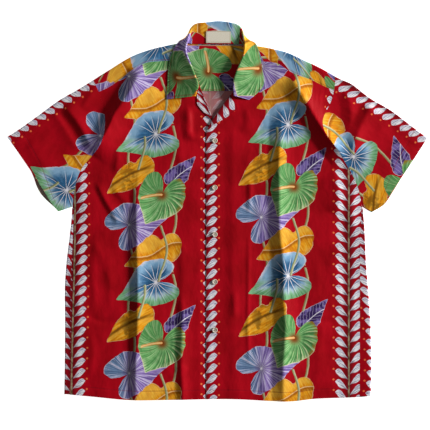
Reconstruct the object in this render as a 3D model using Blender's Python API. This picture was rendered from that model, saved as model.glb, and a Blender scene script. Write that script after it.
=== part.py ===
"""Short-sleeved aloha shirt in printed rayon, laid flat on its back and buttoned.

The shirt lies on z = 0 with the collar towards +Y, the hem towards -Y and its front up.
Sizes below are in millimetres and turned to metres when a piece is made.
"""
import math

import bmesh
import bpy
from mathutils import Matrix

# ---- cloth
WALL = 1.0              # one thickness of cloth
GAP = 0.3               # left between two pieces that touch
STEP = WALL + GAP       # from one layer to the next above it
LOFT = 1.5              # extra height where cloth turns over at a fold
SEAM = 0.15             # each piece stands back this far from its seam line
OPENING = 2.4           # fold of the side seams and shoulders, as the cloth turns

# ---- body
CENTRE = -5.0           # centre front, on the buttons
UNDER_EDGE = 14.0       # front edge of the right front, under the left
OVER_EDGE = -23.0       # front edge of the left front, on top
BUTTON_R = 5.7
BUTTON_H = 2.2
HOLE_R = 0.6
HOLE_AT = 1.1           # each hole's distance from the centre lines
BUTTON_Y = (146.0, 49.0, -48.0, -146.0, -246.0)

# fold of the body's side against height: (y, left x, right x)
SIDE = ((-394, -315.0, 315.5), (-340, -314.0, 317.0), (-290, -313.5, 317.0), (-223, -313.0, 315.0),
        (-161, -313.5, 310.5), (-105, -310.0, 306.0), (-60, -304.5, 304.0), (-20, -300.5, 302.0),
        (4, -299.5, 300.0))
# side seam, on the front face, against height: (y, left x, right x)
SIDE_SEAM = ((-394, -304.0, 294.5), (-290, -303.5, 295.0), (-160, -303.0, 295.0), (-60, -299.0, 296.0),
             (-20, -297.5, 297.5), (4, -298.2, 298.7))
# hem against x: (x, y)
HEM = ((-330, -377), (-304, -379.5), (-250, -384.5), (-193, -390), (-140, -391), (-28, -389),
       (43, -389), (144, -393.5), (208, -387.5), (295, -384.5), (330, -380))
# fold of the shoulder and of the sleeve's top: (x, y)
SHOULDER_L = ((-433.4, 152.5), (-408, 168.5), (-367, 198), (-325, 228.5), (-284, 252), (-256, 269.5),
              (-243, 278), (-222, 291), (-181, 316), (-139, 331.5), (-98, 342), (-80, 345), (-60, 346.5))
SHOULDER_R = ((433.4, 150), (399, 176), (358, 207), (316, 231.5), (279, 260), (256, 270.5),
              (243.5, 277), (213, 294.5), (171, 314), (140, 327), (100, 337), (80, 340), (60, 344))
# armhole seam from the shoulder fold down to the underarm: (x, y)
ARMHOLE_L = ((-256, 269.5), (-250.5, 258.5), (-245, 247), (-240, 231), (-235, 213), (-232, 195),
             (-231.5, 178), (-233.5, 160), (-239, 143), (-247, 129), (-257.5, 116), (-268, 104),
             (-278, 92), (-287, 75), (-293, 55), (-297, 32), (-299.5, 9))
ARMHOLE_R = ((243.5, 277), (243.5, 264), (241.5, 251), (238, 235), (231, 218), (223, 203),
             (217.5, 187), (219.5, 170), (228, 154), (239, 139), (250, 124), (260, 108),
             (269.5, 92), (280, 74), (289, 54), (295.5, 32), (299.5, 9))
CORNER = 2              # row of the armhole at which the yoke's two seams meet it
# front shoulder seam from the armhole to the neck: (x, y)
FRONT_SEAM_L = ((-245, 247), (-222, 258), (-198, 275), (-174, 293), (-148, 306.5),
                (-122, 310), (-96, 311), (-70, 312))
FRONT_SEAM_R = ((241.5, 251), (222, 258), (198, 270), (168, 281), (148, 290.5),
                (124, 305.5), (96, 309.5), (66, 309))
NECK_BACK = 344.0       # back neck seam

# inner edge of each front from hem to neck: (x, y)
EDGE_L = ((UNDER_EDGE, -388.5), (UNDER_EDGE, -200), (UNDER_EDGE, 0), (UNDER_EDGE, 130), (8, 152), (-9, 190),
          (-24, 228), (-36, 258), (-42, 275), (-51, 296), (-62, 308), (-70, 312))
EDGE_R = ((OVER_EDGE, -388.5), (OVER_EDGE, -200), (OVER_EDGE, 0), (OVER_EDGE, 150), (-21, 166), (-12, 184),
          (12, 218), (31, 245), (34.5, 260), (39, 278), (47, 295), (56, 304), (66, 309))
# cuff, from the sleeve's top fold to its underarm: (x, y)
CUFF_L = ((-433.4, 152.5), (-408, 116), (-384, 81), (-361, 46), (-345, 20), (-330, 1))
CUFF_R = ((433.4, 150), (414, 119), (388, 80), (363, 43), (344, 14), (321, -1))

# collar, one row a section from the left point round the back to the right point:
# neck seam n, roll r and outer edge e, each x y z; turn is the roll's radius, lean how far
# the roll has turned from lying forward (0) through upright (1) to lying back (2)
COLLAR = (
    # nx     ny     nz   rx     ry     rz    ex      ey     ez   turn  lean
    (-55.0, 241.0, 5.9, -45.0, 237.5, 7.3, -104.5, 231.5, 6.0, 1.2, 0.0),
    (-50.5, 262.0, 5.9, -39.0, 259.0, 7.4, -103.0, 259.0, 6.0, 1.2, 0.0),
    (-56.0, 280.0, 5.9, -44.0, 277.0, 7.5, -102.0, 286.0, 6.0, 1.3, 0.0),
    (-64.0, 299.0, 6.0, -52.0, 297.0, 7.7, -99.0, 308.0, 6.1, 1.4, 0.1),
    (-71.0, 317.0, 6.0, -60.0, 317.0, 8.0, -93.0, 328.0, 6.3, 1.6, 0.25),
    (-72.0, 333.0, 6.4, -64.5, 335.0, 9.0, -86.0, 342.0, 6.6, 1.9, 0.6),
    (-65.5, 345.5, 6.0, -62.0, 353.0, 10.0, -78.0, 352.5, 4.6, 2.2, 1.0),
    (-59.5, 347.5, 4.4, -58.0, 369.0, 7.6, -69.0, 353.5, 1.2, 2.3, 1.35),
    (-53.0, 346.5, 3.4, -53.5, 380.0, 4.8, -59.0, 341.0, 0.5, 2.3, 1.75),
    (-42.0, 346.0, 2.9, -43.0, 388.0, 3.2, -46.0, 325.0, 0.5, 2.3, 1.95),
    (-22.0, 345.8, 2.8, -22.0, 390.5, 2.9, -23.0, 320.0, 0.5, 2.35, 2.0),
    (2.0, 345.6, 2.8, 2.0, 392.8, 2.9, 2.0, 319.0, 0.5, 2.35, 2.0),
    (22.0, 345.6, 2.8, 24.0, 390.5, 2.9, 24.0, 320.0, 0.5, 2.35, 2.0),
    (40.0, 345.8, 2.9, 41.0, 386.5, 3.2, 45.0, 325.0, 0.5, 2.3, 1.95),
    (50.0, 346.0, 3.4, 50.5, 377.0, 4.8, 58.0, 339.0, 0.5, 2.3, 1.75),
    (56.5, 346.0, 4.4, 54.5, 364.0, 7.6, 69.0, 350.5, 1.2, 2.3, 1.35),
    (62.5, 341.5, 6.0, 57.0, 347.0, 10.0, 79.0, 347.5, 4.6, 2.2, 1.0),
    (66.0, 328.0, 6.4, 55.0, 331.0, 9.0, 85.0, 333.0, 6.6, 1.9, 0.6),
    (61.5, 311.5, 6.0, 50.5, 314.0, 8.0, 89.5, 314.0, 6.3, 1.6, 0.25),
    (54.5, 295.0, 6.0, 43.0, 297.0, 7.7, 93.5, 291.0, 6.1, 1.4, 0.1),
    (47.5, 277.0, 5.9, 36.0, 278.0, 7.5, 96.0, 262.0, 6.0, 1.3, 0.0),
    (44.0, 259.0, 5.9, 32.5, 258.0, 7.4, 82.0, 243.5, 6.0, 1.2, 0.0),
    (45.5, 243.5, 5.9, 34.5, 238.0, 7.3, 66.0, 230.5, 6.0, 1.2, 0.0),
)
COLLAR_STATIONS = 36
LABEL = (-23.0, 28.0)   # woven label, left and right end on the collar's inside
LABEL_SPAN = (0.05, 0.62)

# turned-out facings from the break of the lapel to its top: (inner x y, outer x y)
LAPEL_L = ((-11.5, 193.0, -14.5, 191.5), (-15.0, 202.0, -29.0, 206.0), (-18.5, 211.0, -40.5, 220.0),
           (-23.0, 222.5, -41.5, 231.0), (-28.0, 235.0, -41.5, 241.5), (-32.5, 246.0, -39.5, 249.0),
           (-35.5, 253.5, -37.8, 255.0))
LAPEL_R = ((-19.5, 171.0, -17.5, 168.5), (-11.0, 187.0, -3.0, 181.5), (-1.0, 201.0, 14.0, 191.0),
           (10.0, 216.5, 31.0, 203.0), (20.0, 230.5, 42.0, 213.5), (27.0, 240.0, 33.5, 231.0))


# ---- lines and levels
def smooth(a, b, x):
    t = min(max((x - a) / (b - a), 0.0), 1.0)
    return t * t * (3.0 - 2.0 * t)


def spline(knots, parts):
    """A smooth line through the knots, cut into this many parts between each two."""
    line = []
    last = len(knots) - 1
    for i in range(last):
        ring = (knots[max(i - 1, 0)], knots[i], knots[i + 1], knots[min(i + 2, last)])
        for k in range(parts):
            t = k / parts
            w = (-0.5 * t + t * t - 0.5 * t ** 3, 1.0 - 2.5 * t * t + 1.5 * t ** 3,
                 0.5 * t + 2.0 * t * t - 1.5 * t ** 3, -0.5 * t * t + 0.5 * t ** 3)
            line.append(tuple(sum(w[j] * ring[j][c] for j in range(4)) for c in range(len(knots[0]))))
    line.append(tuple(float(c) for c in knots[-1]))
    return line


def along(line, shares):
    """Points of a line at these shares of its length."""
    run = [0.0]
    for a, b in zip(line, line[1:]):
        run.append(run[-1] + math.dist(a, b))
    out = []
    i = 0
    for share in shares:
        want = share * run[-1]
        while i < len(line) - 2 and run[i + 1] < want:
            i += 1
        t = (want - run[i]) / max(run[i + 1] - run[i], 1e-9)
        out.append(tuple(a + (b - a) * t for a, b in zip(line[i], line[i + 1])))
    return out


def shares_of(line):
    run = [0.0]
    for a, b in zip(line, line[1:]):
        run.append(run[-1] + math.dist(a, b))
    return [r / run[-1] for r in run]


def read(table, x, column=1):
    """A table's column at x, on a straight line between its rows."""
    rows = sorted(table)
    if x <= rows[0][0]:
        return rows[0][column]
    for a, b in zip(rows, rows[1:]):
        if x <= b[0]:
            t = (x - a[0]) / (b[0] - a[0])
            return a[column] + (b[column] - a[column]) * t
    return rows[-1][column]


SIDE_LINE = spline(SIDE, 6)
SEAM_LINE = spline(SIDE_SEAM, 6)
HEM_LINE = spline(HEM, 6)
SHOULDERS = {-1: spline(SHOULDER_L, 6), 1: spline(SHOULDER_R, 6)}


def fold_x(y, side):
    return read(SIDE_LINE, y, 1 if side < 0 else 2)


def seam_x(y, side):
    return read(SEAM_LINE, y, 1 if side < 0 else 2)


def shoulder_y(x):
    if abs(x) < 60.0:
        return 346.0
    return read(SHOULDERS[-1 if x < 0 else 1], x)


def near_fold(x, y):
    """1 on a fold of the outline, falling to 0 inside it."""
    reach = shoulder_y(x) - y
    at_top = math.exp(-(0.86 * reach / 20.0) ** 2) * smooth(95.0, 130.0, abs(x))
    at_side = 0.0
    if y < 4.0:
        inside = min(x - fold_x(y, -1), fold_x(y, 1) - x)
        at_side = math.exp(-(inside / 20.0) ** 2) * smooth(0.0, -50.0, y)
    return max(at_top, at_side)


def low(x, y):
    """Middle of the bottom layer: it lies on the ground, but over the collar at the neck."""
    return 0.5 * WALL + STEP * (1.0 - smooth(88.0, 116.0, abs(x))) * smooth(298.0, 312.0, y)


def lined(x, y):
    return (1.0 - smooth(150.0, 190.0, abs(x))) * smooth(205.0, 230.0, y)


def high(x, y):
    """Middle of the top layer, on the back and on the yoke's lining."""
    return low(x, y) + STEP * (1.0 + lined(x, y)) + LOFT * near_fold(x, y)


def lapped(x, y):
    """Middle of the left front, which also lies on the right front's edge."""
    over = (1.0 - smooth(30.0, 90.0, x)) * (1.0 - smooth(205.0, 245.0, y))
    return high(x, y) + STEP * over


# ---- making pieces
def patch(left, right, bottom, top):
    """Plan points between four border lines; left and right have the rows, the others the columns."""
    v = shares_of(left)
    u = shares_of(bottom)
    rows = []
    for j in range(len(left)):
        row = []
        for i in range(len(bottom)):
            a, b = u[i], v[j]
            point = []
            for c in (0, 1):
                across = (1 - a) * left[j][c] + a * right[j][c]
                up = (1 - b) * bottom[i][c] + b * top[i][c]
                corner = ((1 - a) * (1 - b) * left[0][c] + a * (1 - b) * right[0][c]
                          + (1 - a) * b * left[-1][c] + a * b * right[-1][c])
                point.append(across + up - corner)
            row.append(tuple(point))
        rows.append(row)
    return rows


def shift(line, by):
    """The line moved sideways in plan, to its left for a positive distance."""
    out = []
    for i, p in enumerate(line):
        a = line[max(i - 1, 0)]
        b = line[min(i + 1, len(line) - 1)]
        size = math.hypot(b[0] - a[0], b[1] - a[1])
        out.append((p[0] - (b[1] - a[1]) / size * by, p[1] + (b[0] - a[0]) / size * by) + tuple(p[2:]))
    return out


def normals(rows, ring):
    """Unit normals of a grid of points; ring joins each row's end to its start."""
    out = []
    for j, row in enumerate(rows):
        line = []
        for i in range(len(row)):
            if ring:
                a, b = row[i - 1], row[(i + 1) % len(row)]
            else:
                a, b = row[max(i - 1, 0)], row[min(i + 1, len(row) - 1)]
            c, d = rows[max(j - 1, 0)][i], rows[min(j + 1, len(rows) - 1)][i]
            u = [q - p for p, q in zip(a, b)]
            v = [q - p for p, q in zip(c, d)]
            n = (u[1] * v[2] - u[2] * v[1], u[2] * v[0] - u[0] * v[2], u[0] * v[1] - u[1] * v[0])
            size = math.sqrt(sum(k * k for k in n))
            line.append(tuple(k / size for k in n))
        out.append(line)
    return out


def moved(rows, by, ring=False):
    """A grid moved out along its normals."""
    lift = normals(rows, ring)
    return [[tuple(p + by * n for p, n in zip(point, normal)) for point, normal in zip(row, line)]
            for row, line in zip(rows, lift)]


def cloth(name, rows, colour, ring=False):
    """A closed sheet of even wall on a grid of its middle points."""
    upper = moved(rows, 0.5 * WALL, ring)
    under = moved(rows, -0.5 * WALL, ring)
    mesh = bmesh.new()
    top = [[mesh.verts.new([c * 0.001 for c in p]) for p in row] for row in upper]
    base = [[mesh.verts.new([c * 0.001 for c in p]) for p in row] for row in under]
    count = len(rows[0])
    last = count if ring else count - 1
    for j in range(len(rows) - 1):
        for i in range(last):
            k = (i + 1) % count
            mesh.faces.new((top[j][i], top[j][k], top[j + 1][k], top[j + 1][i]))
            mesh.faces.new((base[j][i], base[j + 1][i], base[j + 1][k], base[j][k]))
    for i in range(last):
        k = (i + 1) % count
        mesh.faces.new((base[0][i], base[0][k], top[0][k], top[0][i]))
        mesh.faces.new((top[-1][i], top[-1][k], base[-1][k], base[-1][i]))
    if not ring:
        for j in range(len(rows) - 1):
            mesh.faces.new((top[j][0], top[j + 1][0], base[j + 1][0], base[j][0]))
            mesh.faces.new((base[j][-1], base[j + 1][-1], top[j + 1][-1], top[j][-1]))
    return finish(name, mesh, colour, 0.6)


def finish(name, mesh, colour, rough):
    bmesh.ops.recalc_face_normals(mesh, faces=mesh.faces[:])
    bmesh.ops.triangulate(mesh, faces=mesh.faces[:])
    data = bpy.data.meshes.new(name)
    mesh.to_mesh(data)
    mesh.free()
    for face in data.polygons:
        face.use_smooth = True
    data.set_sharp_from_angle(angle=math.radians(40))
    piece = bpy.data.objects.new(name, data)
    bpy.context.collection.objects.link(piece)
    paint = bpy.data.materials.new(name + "_cloth")
    paint.use_nodes = True
    shader = paint.node_tree.nodes["Principled BSDF"]
    shader.inputs["Base Color"].default_value = colour + (1.0,)
    shader.inputs["Roughness"].default_value = rough
    data.materials.append(paint)
    return piece


def turn_over(centre, out, bottom, top, steps):
    """Middle points round a fold from the bottom layer to the top one, without its two ends."""
    radius = 0.5 * (top - bottom)
    line = []
    for k in range(1, steps):
        angle = math.pi * k / steps
        reach = radius * math.sin(angle)
        line.append((centre[0] + out[0] * reach, centre[1] + out[1] * reach,
                     bottom + radius * (1.0 - math.cos(angle))))
    return line


for old in list(bpy.data.objects):
    bpy.data.objects.remove(old, do_unlink=True)

RED = (0.33, 0.008, 0.02)
PALE = (0.46, 0.12, 0.14)
CREAM = (0.75, 0.68, 0.55)
PEARL = (0.80, 0.76, 0.68)

# ---- back: from side seam to side seam, turned over at both sides of the body
TURN = 3                # parts of the curve where cloth turns over
back_rows = []
armholes = {-1: [tuple(map(float, p)) for p in ARMHOLE_L], 1: [tuple(map(float, p)) for p in ARMHOLE_R]}
inner_l = shift(armholes[-1], SEAM)
inner_r = shift(armholes[1], -SEAM)
FLAT = 6                # parts of the back between its folds
SIDE_ROWS = 7           # rows from the hem to the underarm
UNDERARM = 3.0          # height of the side seam's top
for k in range(SIDE_ROWS + 1):
    y_side = UNDERARM - 382.0 * (1.0 - k / SIDE_ROWS)
    hem_drop = (1.0 - k / SIDE_ROWS) ** 2
    row = []
    for side in (-1, 1):
        fold = fold_x(y_side, side)
        seam = seam_x(y_side, side) + SEAM * side
        y = y_side + (read(HEM_LINE, fold) + 379.0) * hem_drop
        top = high(fold, min(y, UNDERARM))
        part = [(x, y, high(x, min(y, UNDERARM))) for x in (seam, 0.5 * (seam + fold), fold)]
        part += list(reversed(turn_over((fold, y), (side, 0.0), low(fold, y), top, TURN)))
        if side > 0:
            part = list(reversed(part))
            left = fold_x(y_side, -1)
            for i in range(FLAT + 1):
                x = left + (fold - left) * i / FLAT
                row.append((x, y_side + (read(HEM_LINE, x) + 379.0) * hem_drop, low(x, y)))
        row += part
    back_rows.append(row)
lead = 2 + TURN         # points each side of the flat part in a row
for k in range(len(inner_l) - 1, CORNER - 1, -1):
    (xl, yl), (xr, yr) = inner_l[k], inner_r[k]
    if k == CORNER:
        yl, yr = yl - SEAM, yr - SEAM
    full = FLAT + 2 * lead
    row = []
    for i in range(full + 1):
        share = 0.002 + 0.996 * (i - lead) / FLAT
        if i < lead:
            share = 0.002 * i / lead
        elif i > full - lead:
            share = 1.0 - 0.002 * (full - i) / lead
        row.append((xl + (xr - xl) * share, yl + (yr - yl) * share, low(0.0, 0.0)))
    back_rows.append(row)
cloth("back", back_rows, RED)

# ---- back yoke: from the back seam over both shoulders to the front seams
front_seam = {-1: [tuple(map(float, p)) for p in FRONT_SEAM_L], 1: [tuple(map(float, p)) for p in FRONT_SEAM_R]}
BELOW, OVER = 4, 2
THIN = 0.8              # closest spacing of points up the neck's edge
columns = []
for p in front_seam[-1]:
    columns.append((p[0], p[1] + SEAM, 1.0))
for x, share in ((-68.0, 0.55), (-66.0, 0.15), (-62.0, 0.0), (-52.0, 0.0), (-26.0, 0.0), (0.0, 0.0),
                 (24.0, 0.0), (48.0, 0.0), (58.0, 0.0), (62.0, 0.15), (64.0, 0.55)):
    columns.append((x, None, share))
for p in reversed(front_seam[1]):
    columns.append((p[0], p[1] + SEAM, 1.0))
yoke_rows = [[] for _ in range(BELOW + TURN + OVER + 1)]
corner_l = inner_l[CORNER]
corner_r = inner_r[CORNER]
total = BELOW + TURN + OVER
for n, (x, seam_y, share) in enumerate(columns):
    start = corner_l[1] + (corner_r[1] - corner_l[1]) * (x - corner_l[0]) / (corner_r[0] - corner_l[0]) + SEAM
    fold = shoulder_y(x)
    base = low(x, fold)
    top = high(x, fold)
    if n in (0, len(columns) - 1):
        ring = (inner_l if n == 0 else inner_r)[:CORNER + 1]
        up = along(ring[::-1], [k / BELOW for k in range(BELOW + 1)])
        up[0] = (up[0][0], up[0][1] + SEAM)
        line = [(p[0], p[1], low(*p)) for p in up]
        line += turn_over(ring[0], (0.0, 1.0), low(*ring[0]), high(*ring[0]), TURN)
        down = along(ring, [k / OVER for k in range(OVER + 1)])
        down[-1] = (down[-1][0], down[-1][1] + SEAM)
        line += [(p[0], p[1], high(*p)) for p in down]
        for k in range(total + 1):
            yoke_rows[k].append(line[k])
        continue
    radius = 0.5 * (top - base)
    arc = math.pi * radius
    if seam_y is None:
        end = NECK_BACK if share == 0.0 else fold + arc * min(share * 2.0, 1.0) + 30.0 * share
    else:
        end = fold + arc + (fold - seam_y)
    strip = max(end - fold - arc, 4.0)
    ideal = [start + (fold - start) * k / BELOW for k in range(BELOW + 1)]
    ideal += [fold + arc * k / TURN for k in range(1, TURN + 1)]
    ideal += [fold + arc + strip * k / OVER for k in range(1, OVER + 1)]
    for k in range(total + 1):
        s = min(ideal[k], end - (total - k) * THIN)
        if s <= fold:
            point = (x, s, low(x, s))
        elif s < fold + arc:
            angle = (s - fold) / radius
            point = (x, fold + radius * math.sin(angle), base + radius * (1.0 - math.cos(angle)))
        else:
            y = fold - (s - fold - arc)
            point = (x, y, high(x, y))
        yoke_rows[k].append(point)
cloth("back_yoke", yoke_rows, RED)

# ---- yoke lining, which shows inside the neck
lining_rows = []
inside = [n for n, column in enumerate(columns) if abs(column[0]) < 123.0]
for k in range(BELOW + 1):
    row = []
    for n in inside:
        x, y, z = yoke_rows[k][n]
        if k == BELOW:
            below = yoke_rows[k - 1][n]
            top_y = min(NECK_BACK, shoulder_y(x) - 4.0)
            t = (top_y - below[1]) / (y - below[1])
            y, z = top_y, below[2] + (z - below[2]) * t
        row.append((x, y, z + STEP))
    lining_rows.append(row)
cloth("yoke_lining", lining_rows, RED)

# ---- fronts
panels = {}
for side, name, edge, level in ((-1, "right_front", EDGE_L, high), (1, "left_front", EDGE_R, lapped)):
    hole = shift(armholes[side], SEAM if side < 0 else -SEAM)
    hole[-1] = (hole[-1][0] - side * 1.3, hole[-1][1])
    seam_edge = []
    for k in range(SIDE_ROWS + 1):
        y = UNDERARM - 382.0 * (1.0 - k / SIDE_ROWS)
        drop = (read(HEM_LINE, seam_x(-379.0, side)) + 379.0) * (1.0 - k / SIDE_ROWS) ** 2
        seam_edge.append((seam_x(y, side) - side * SEAM, y + drop))
    outer = seam_edge + list(reversed(hole[CORNER:]))
    outer[-1] = (outer[-1][0], outer[-1][1] - SEAM)
    shares = shares_of(outer)
    inner = along(spline(edge, 8), shares)
    top_edge = [(p[0], p[1] - SEAM) for p in front_seam[side]]
    top_edge[0] = outer[-1]
    top_edge[-1] = inner[-1] = (top_edge[-1][0], inner[-1][1] - SEAM)
    across = shares_of(top_edge)
    low_edge = []
    for s in across:
        x = outer[0][0] + (inner[0][0] - outer[0][0]) * s
        low_edge.append((x, read(HEM_LINE, x)))
    inner[0] = low_edge[-1]
    low_edge[0] = outer[0]
    plan = patch(outer, inner, low_edge, top_edge)
    rows = [[(x, y, level(x, y)) for x, y in row] for row in plan]
    cloth(name, rows, RED)
    panels[name] = rows

# ---- sleeves: flattened tubes, open at the cuff and at the armhole
for side, name, cuff, armhole, slip in ((-1, "right_sleeve", CUFF_L, ARMHOLE_L, 9.0),
                                        (1, "left_sleeve", CUFF_R, ARMHOLE_R, 2.0)):
    hole = shift([tuple(map(float, p)) for p in armhole], -SEAM if side < 0 else SEAM)
    hole[-1] = (hole[-1][0], hole[-1][1] + 1.5)
    cuff_line = along(spline(cuff, 8), shares_of(hole))
    stations = 5
    upper_line = [p for p in SHOULDERS[side] if abs(p[0]) >= abs(hole[0][0])]
    upper_line = sorted(upper_line, key=lambda p: abs(p[0]))
    upper = along([hole[0]] + upper_line[1:], [k / stations for k in range(stations + 1)])
    upper[-1] = cuff_line[0]
    lower = [(hole[-1][0] + (cuff_line[-1][0] - hole[-1][0]) * k / stations,
              hole[-1][1] + (cuff_line[-1][1] - hole[-1][1]) * k / stations) for k in range(stations + 1)]
    plan = patch(hole, cuff_line, upper, lower)
    rings = []
    for k in range(stations + 1):
        face = [row[k] for row in plan]
        ring = []
        total = len(face) - 1

        def height(point, face=face, k=k):
            at_top = math.exp(-(math.dist(point, face[0]) / 20.0) ** 2)
            at_foot = math.exp(-(math.dist(point, face[-1]) / 20.0) ** 2) * smooth(0.0, 3.0, k)
            return 0.5 * WALL + STEP + LOFT * max(at_top, at_foot)

        for p in face:
            ring.append((p[0], p[1], height(p)))
        size = math.dist(face[-1], face[-2])
        out = ((face[-1][0] - face[-2][0]) / size, (face[-1][1] - face[-2][1]) / size)
        ring += reversed(turn_over(face[-1], out, 0.5 * WALL, height(face[-1]), TURN))
        for i, p in reversed(list(enumerate(face))):
            reach = slip * math.sin(math.pi * smooth(0.42, 1.0, i / total)) * (k / stations) ** 3
            ring.append((p[0] + side * 0.85 * reach, p[1] - 0.5 * reach, 0.5 * WALL))
        size = math.dist(face[0], face[1])
        out = ((face[0][0] - face[1][0]) / size, (face[0][1] - face[1][1]) / size)
        if k < 2:
            out = (side * 0.35, 0.937)
        ring += turn_over(face[0], out, 0.5 * WALL, height(face[0]), TURN)
        rings.append(ring)
    cloth(name, rings, RED, ring=True)

# ---- collar: rises from the neck seam, turns over its roll and falls outside the neck
sections = along(spline(COLLAR, 6), [k / COLLAR_STATIONS for k in range(COLLAR_STATIONS + 1)])
middle = (0.0, 300.0)


def collar_section(row):
    nx, ny, nz, rx, ry, rz, ex, ey, ez, turn, lean = row
    if lean < 0.5:
        nz = max(nz, high(nx, ny) + STEP + 0.1)
        ez = high(ex, ey) + STEP + 0.2
    size = max(math.hypot(ex - rx, ey - ry), 1e-6)
    if lean <= 1.0:
        flat = ((rx - ex) / size, (ry - ey) / size)
        angle = 0.5 * math.pi * lean
        tip = (flat[0] * math.cos(angle), flat[1] * math.cos(angle), math.sin(angle))
        over = (-flat[0] * math.sin(angle), -flat[1] * math.sin(angle), math.cos(angle))
    else:
        away = math.hypot(rx, ry - 340.0)
        back = (0.35 * rx / away, (ry - 340.0) / away)
        size_b = math.hypot(back[0], back[1])
        back = (back[0] / size_b, back[1] / size_b)
        angle = 0.5 * math.pi * (lean - 1.0)
        tip = (back[0] * math.sin(angle), back[1] * math.sin(angle), math.cos(angle))
        out_x = (1.0 if rx > 0 else -1.0)
        share = math.cos(angle)
        over = (out_x * share * 0.92 + back[0] * 0.0, share * 0.38, -math.sin(angle))
    dot = sum(a * b for a, b in zip(tip, over))
    over = [b - dot * a for a, b in zip(tip, over)]
    norm = math.sqrt(sum(c * c for c in over))
    over = [c / norm for c in over]
    root = [r - turn * t for r, t in zip((rx, ry, rz), tip)]
    line = []
    start = (nx, ny, nz)
    first = [c - turn * o for c, o in zip(root, over)]
    for k in range(3):
        line.append(tuple(a + (b - a) * k / 3 for a, b in zip(start, first)))
    for k in range(5):
        angle = math.pi * (k / 4 - 0.5)
        line.append(tuple(c + turn * (math.cos(angle) * t + math.sin(angle) * o)
                          for c, t, o in zip(root, tip, over)))
    final = line[-1]
    for k in range(1, 5):
        share = k / 4
        droop = math.sin(0.5 * math.pi * share)
        line.append((final[0] + (ex - final[0]) * share, final[1] + (ey - final[1]) * share,
                     final[2] + (ez - final[2]) * (droop if lean > 0.5 else share)))
    return [(x, y, max(z, 0.5 * WALL + 0.02)) for x, y, z in line]


collar_rows = [collar_section(s) for s in sections]
cloth("collar", collar_rows, RED)

# ---- label, on the collar's inside at the back
label_rows = []
for j in range(4):
    share = LABEL_SPAN[0] + (LABEL_SPAN[1] - LABEL_SPAN[0]) * j / 3
    row = []
    for i in range(7):
        x = LABEL[0] + (LABEL[1] - LABEL[0]) * i / 6
        near = sorted(range(len(collar_rows)), key=lambda k: abs(collar_rows[k][1][0] - x)
                      + 90.0 * (collar_rows[k][1][1] < 340.0))
        a, b = sorted(near[:2])
        pa = [collar_rows[a][0][c] + (collar_rows[a][3][c] - collar_rows[a][0][c]) * share for c in range(3)]
        pb = [collar_rows[b][0][c] + (collar_rows[b][3][c] - collar_rows[b][0][c]) * share for c in range(3)]
        t = (x - pa[0]) / (pb[0] - pa[0])
        row.append((x, pa[1] + (pb[1] - pa[1]) * t, pa[2] + (pb[2] - pa[2]) * t))
    label_rows.append(row)
cloth("label", moved(label_rows, STEP + 0.05), CREAM)

# ---- turned-out facings of the lapels, each lying on its front
def on_panel(rows, x, y):
    """Height of a panel's middle at a point of its plan."""
    for row, above in zip(rows, rows[1:]):
        for a, b, c, d in zip(row, row[1:], above[1:], above):
            for p, q, r in ((a, b, c), (a, c, d)):
                area = (q[0] - p[0]) * (r[1] - p[1]) - (r[0] - p[0]) * (q[1] - p[1])
                s = ((x - p[0]) * (r[1] - p[1]) - (r[0] - p[0]) * (y - p[1])) / area
                t = ((q[0] - p[0]) * (y - p[1]) - (x - p[0]) * (q[1] - p[1])) / area
                if s >= -0.02 and t >= -0.02 and s + t <= 1.02:
                    return p[2] + (q[2] - p[2]) * s + (r[2] - p[2]) * t
    return rows[-1][-1][2]


for name, table, under in (("right_facing", LAPEL_L, "right_front"), ("left_facing", LAPEL_R, "left_front")):
    rows = []
    for ix, iy, ox, oy in spline(table, 2):
        row = []
        for i in range(4):
            x = ix + (ox - ix) * i / 3
            y = iy + (oy - iy) * i / 3
            row.append((x, y, on_panel(panels[under], x, y) + STEP + 0.05))
        rows.append(row)
    cloth(name, rows, RED)

# ---- buttons: small dished discs with four holes
for n, y in enumerate(BUTTON_Y):
    seat = on_panel(panels["left_front"], CENTRE, y) + 0.5 * WALL + GAP
    rim = BUTTON_R
    profile = ((rim - 0.9, 0.0), (rim, 0.8), (rim - 0.2, BUTTON_H - 0.3), (rim - 1.2, BUTTON_H),
               (rim - 2.0, BUTTON_H - 0.7))
    mesh = bmesh.new()
    loops = []
    for radius, z in profile:
        loops.append([mesh.verts.new(((CENTRE + radius * math.cos(math.tau * k / 18)) * 0.001,
                                      (y + radius * math.sin(math.tau * k / 18)) * 0.001,
                                      (seat + z) * 0.001)) for k in range(18)])
    for a, b in zip(loops, loops[1:]):
        for k in range(18):
            mesh.faces.new((a[k], a[(k + 1) % 18], b[(k + 1) % 18], b[k]))
    mesh.faces.new(list(reversed(loops[0])))
    mesh.faces.new(loops[-1])
    disc = finish("button_" + str(n + 1), mesh, PEARL, 0.25)
    pins = bmesh.new()
    for sx, sy in ((-1, -1), (1, -1), (1, 1), (-1, 1)):
        place = Matrix.Translation(((CENTRE + sx * HOLE_AT) * 0.001, (y + sy * HOLE_AT) * 0.001, seat * 0.001))
        bmesh.ops.create_cone(pins, cap_ends=True, segments=8, radius1=HOLE_R * 0.001, radius2=HOLE_R * 0.001,
                              depth=0.008, matrix=place)
    pin_mesh = bpy.data.meshes.new("pins")
    pins.to_mesh(pin_mesh)
    pins.free()
    cutter = bpy.data.objects.new("pins", pin_mesh)
    bpy.context.collection.objects.link(cutter)
    cut = disc.modifiers.new("holes", "BOOLEAN")
    cut.operation = "DIFFERENCE"
    cut.solver = "EXACT"
    cut.object = cutter
    bpy.context.view_layer.update()
    pierced = bpy.data.meshes.new_from_object(disc.evaluated_get(bpy.context.evaluated_depsgraph_get()))
    disc.modifiers.clear()
    disc.data = pierced
    bpy.data.objects.remove(cutter, do_unlink=True)
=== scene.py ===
import math

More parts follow.
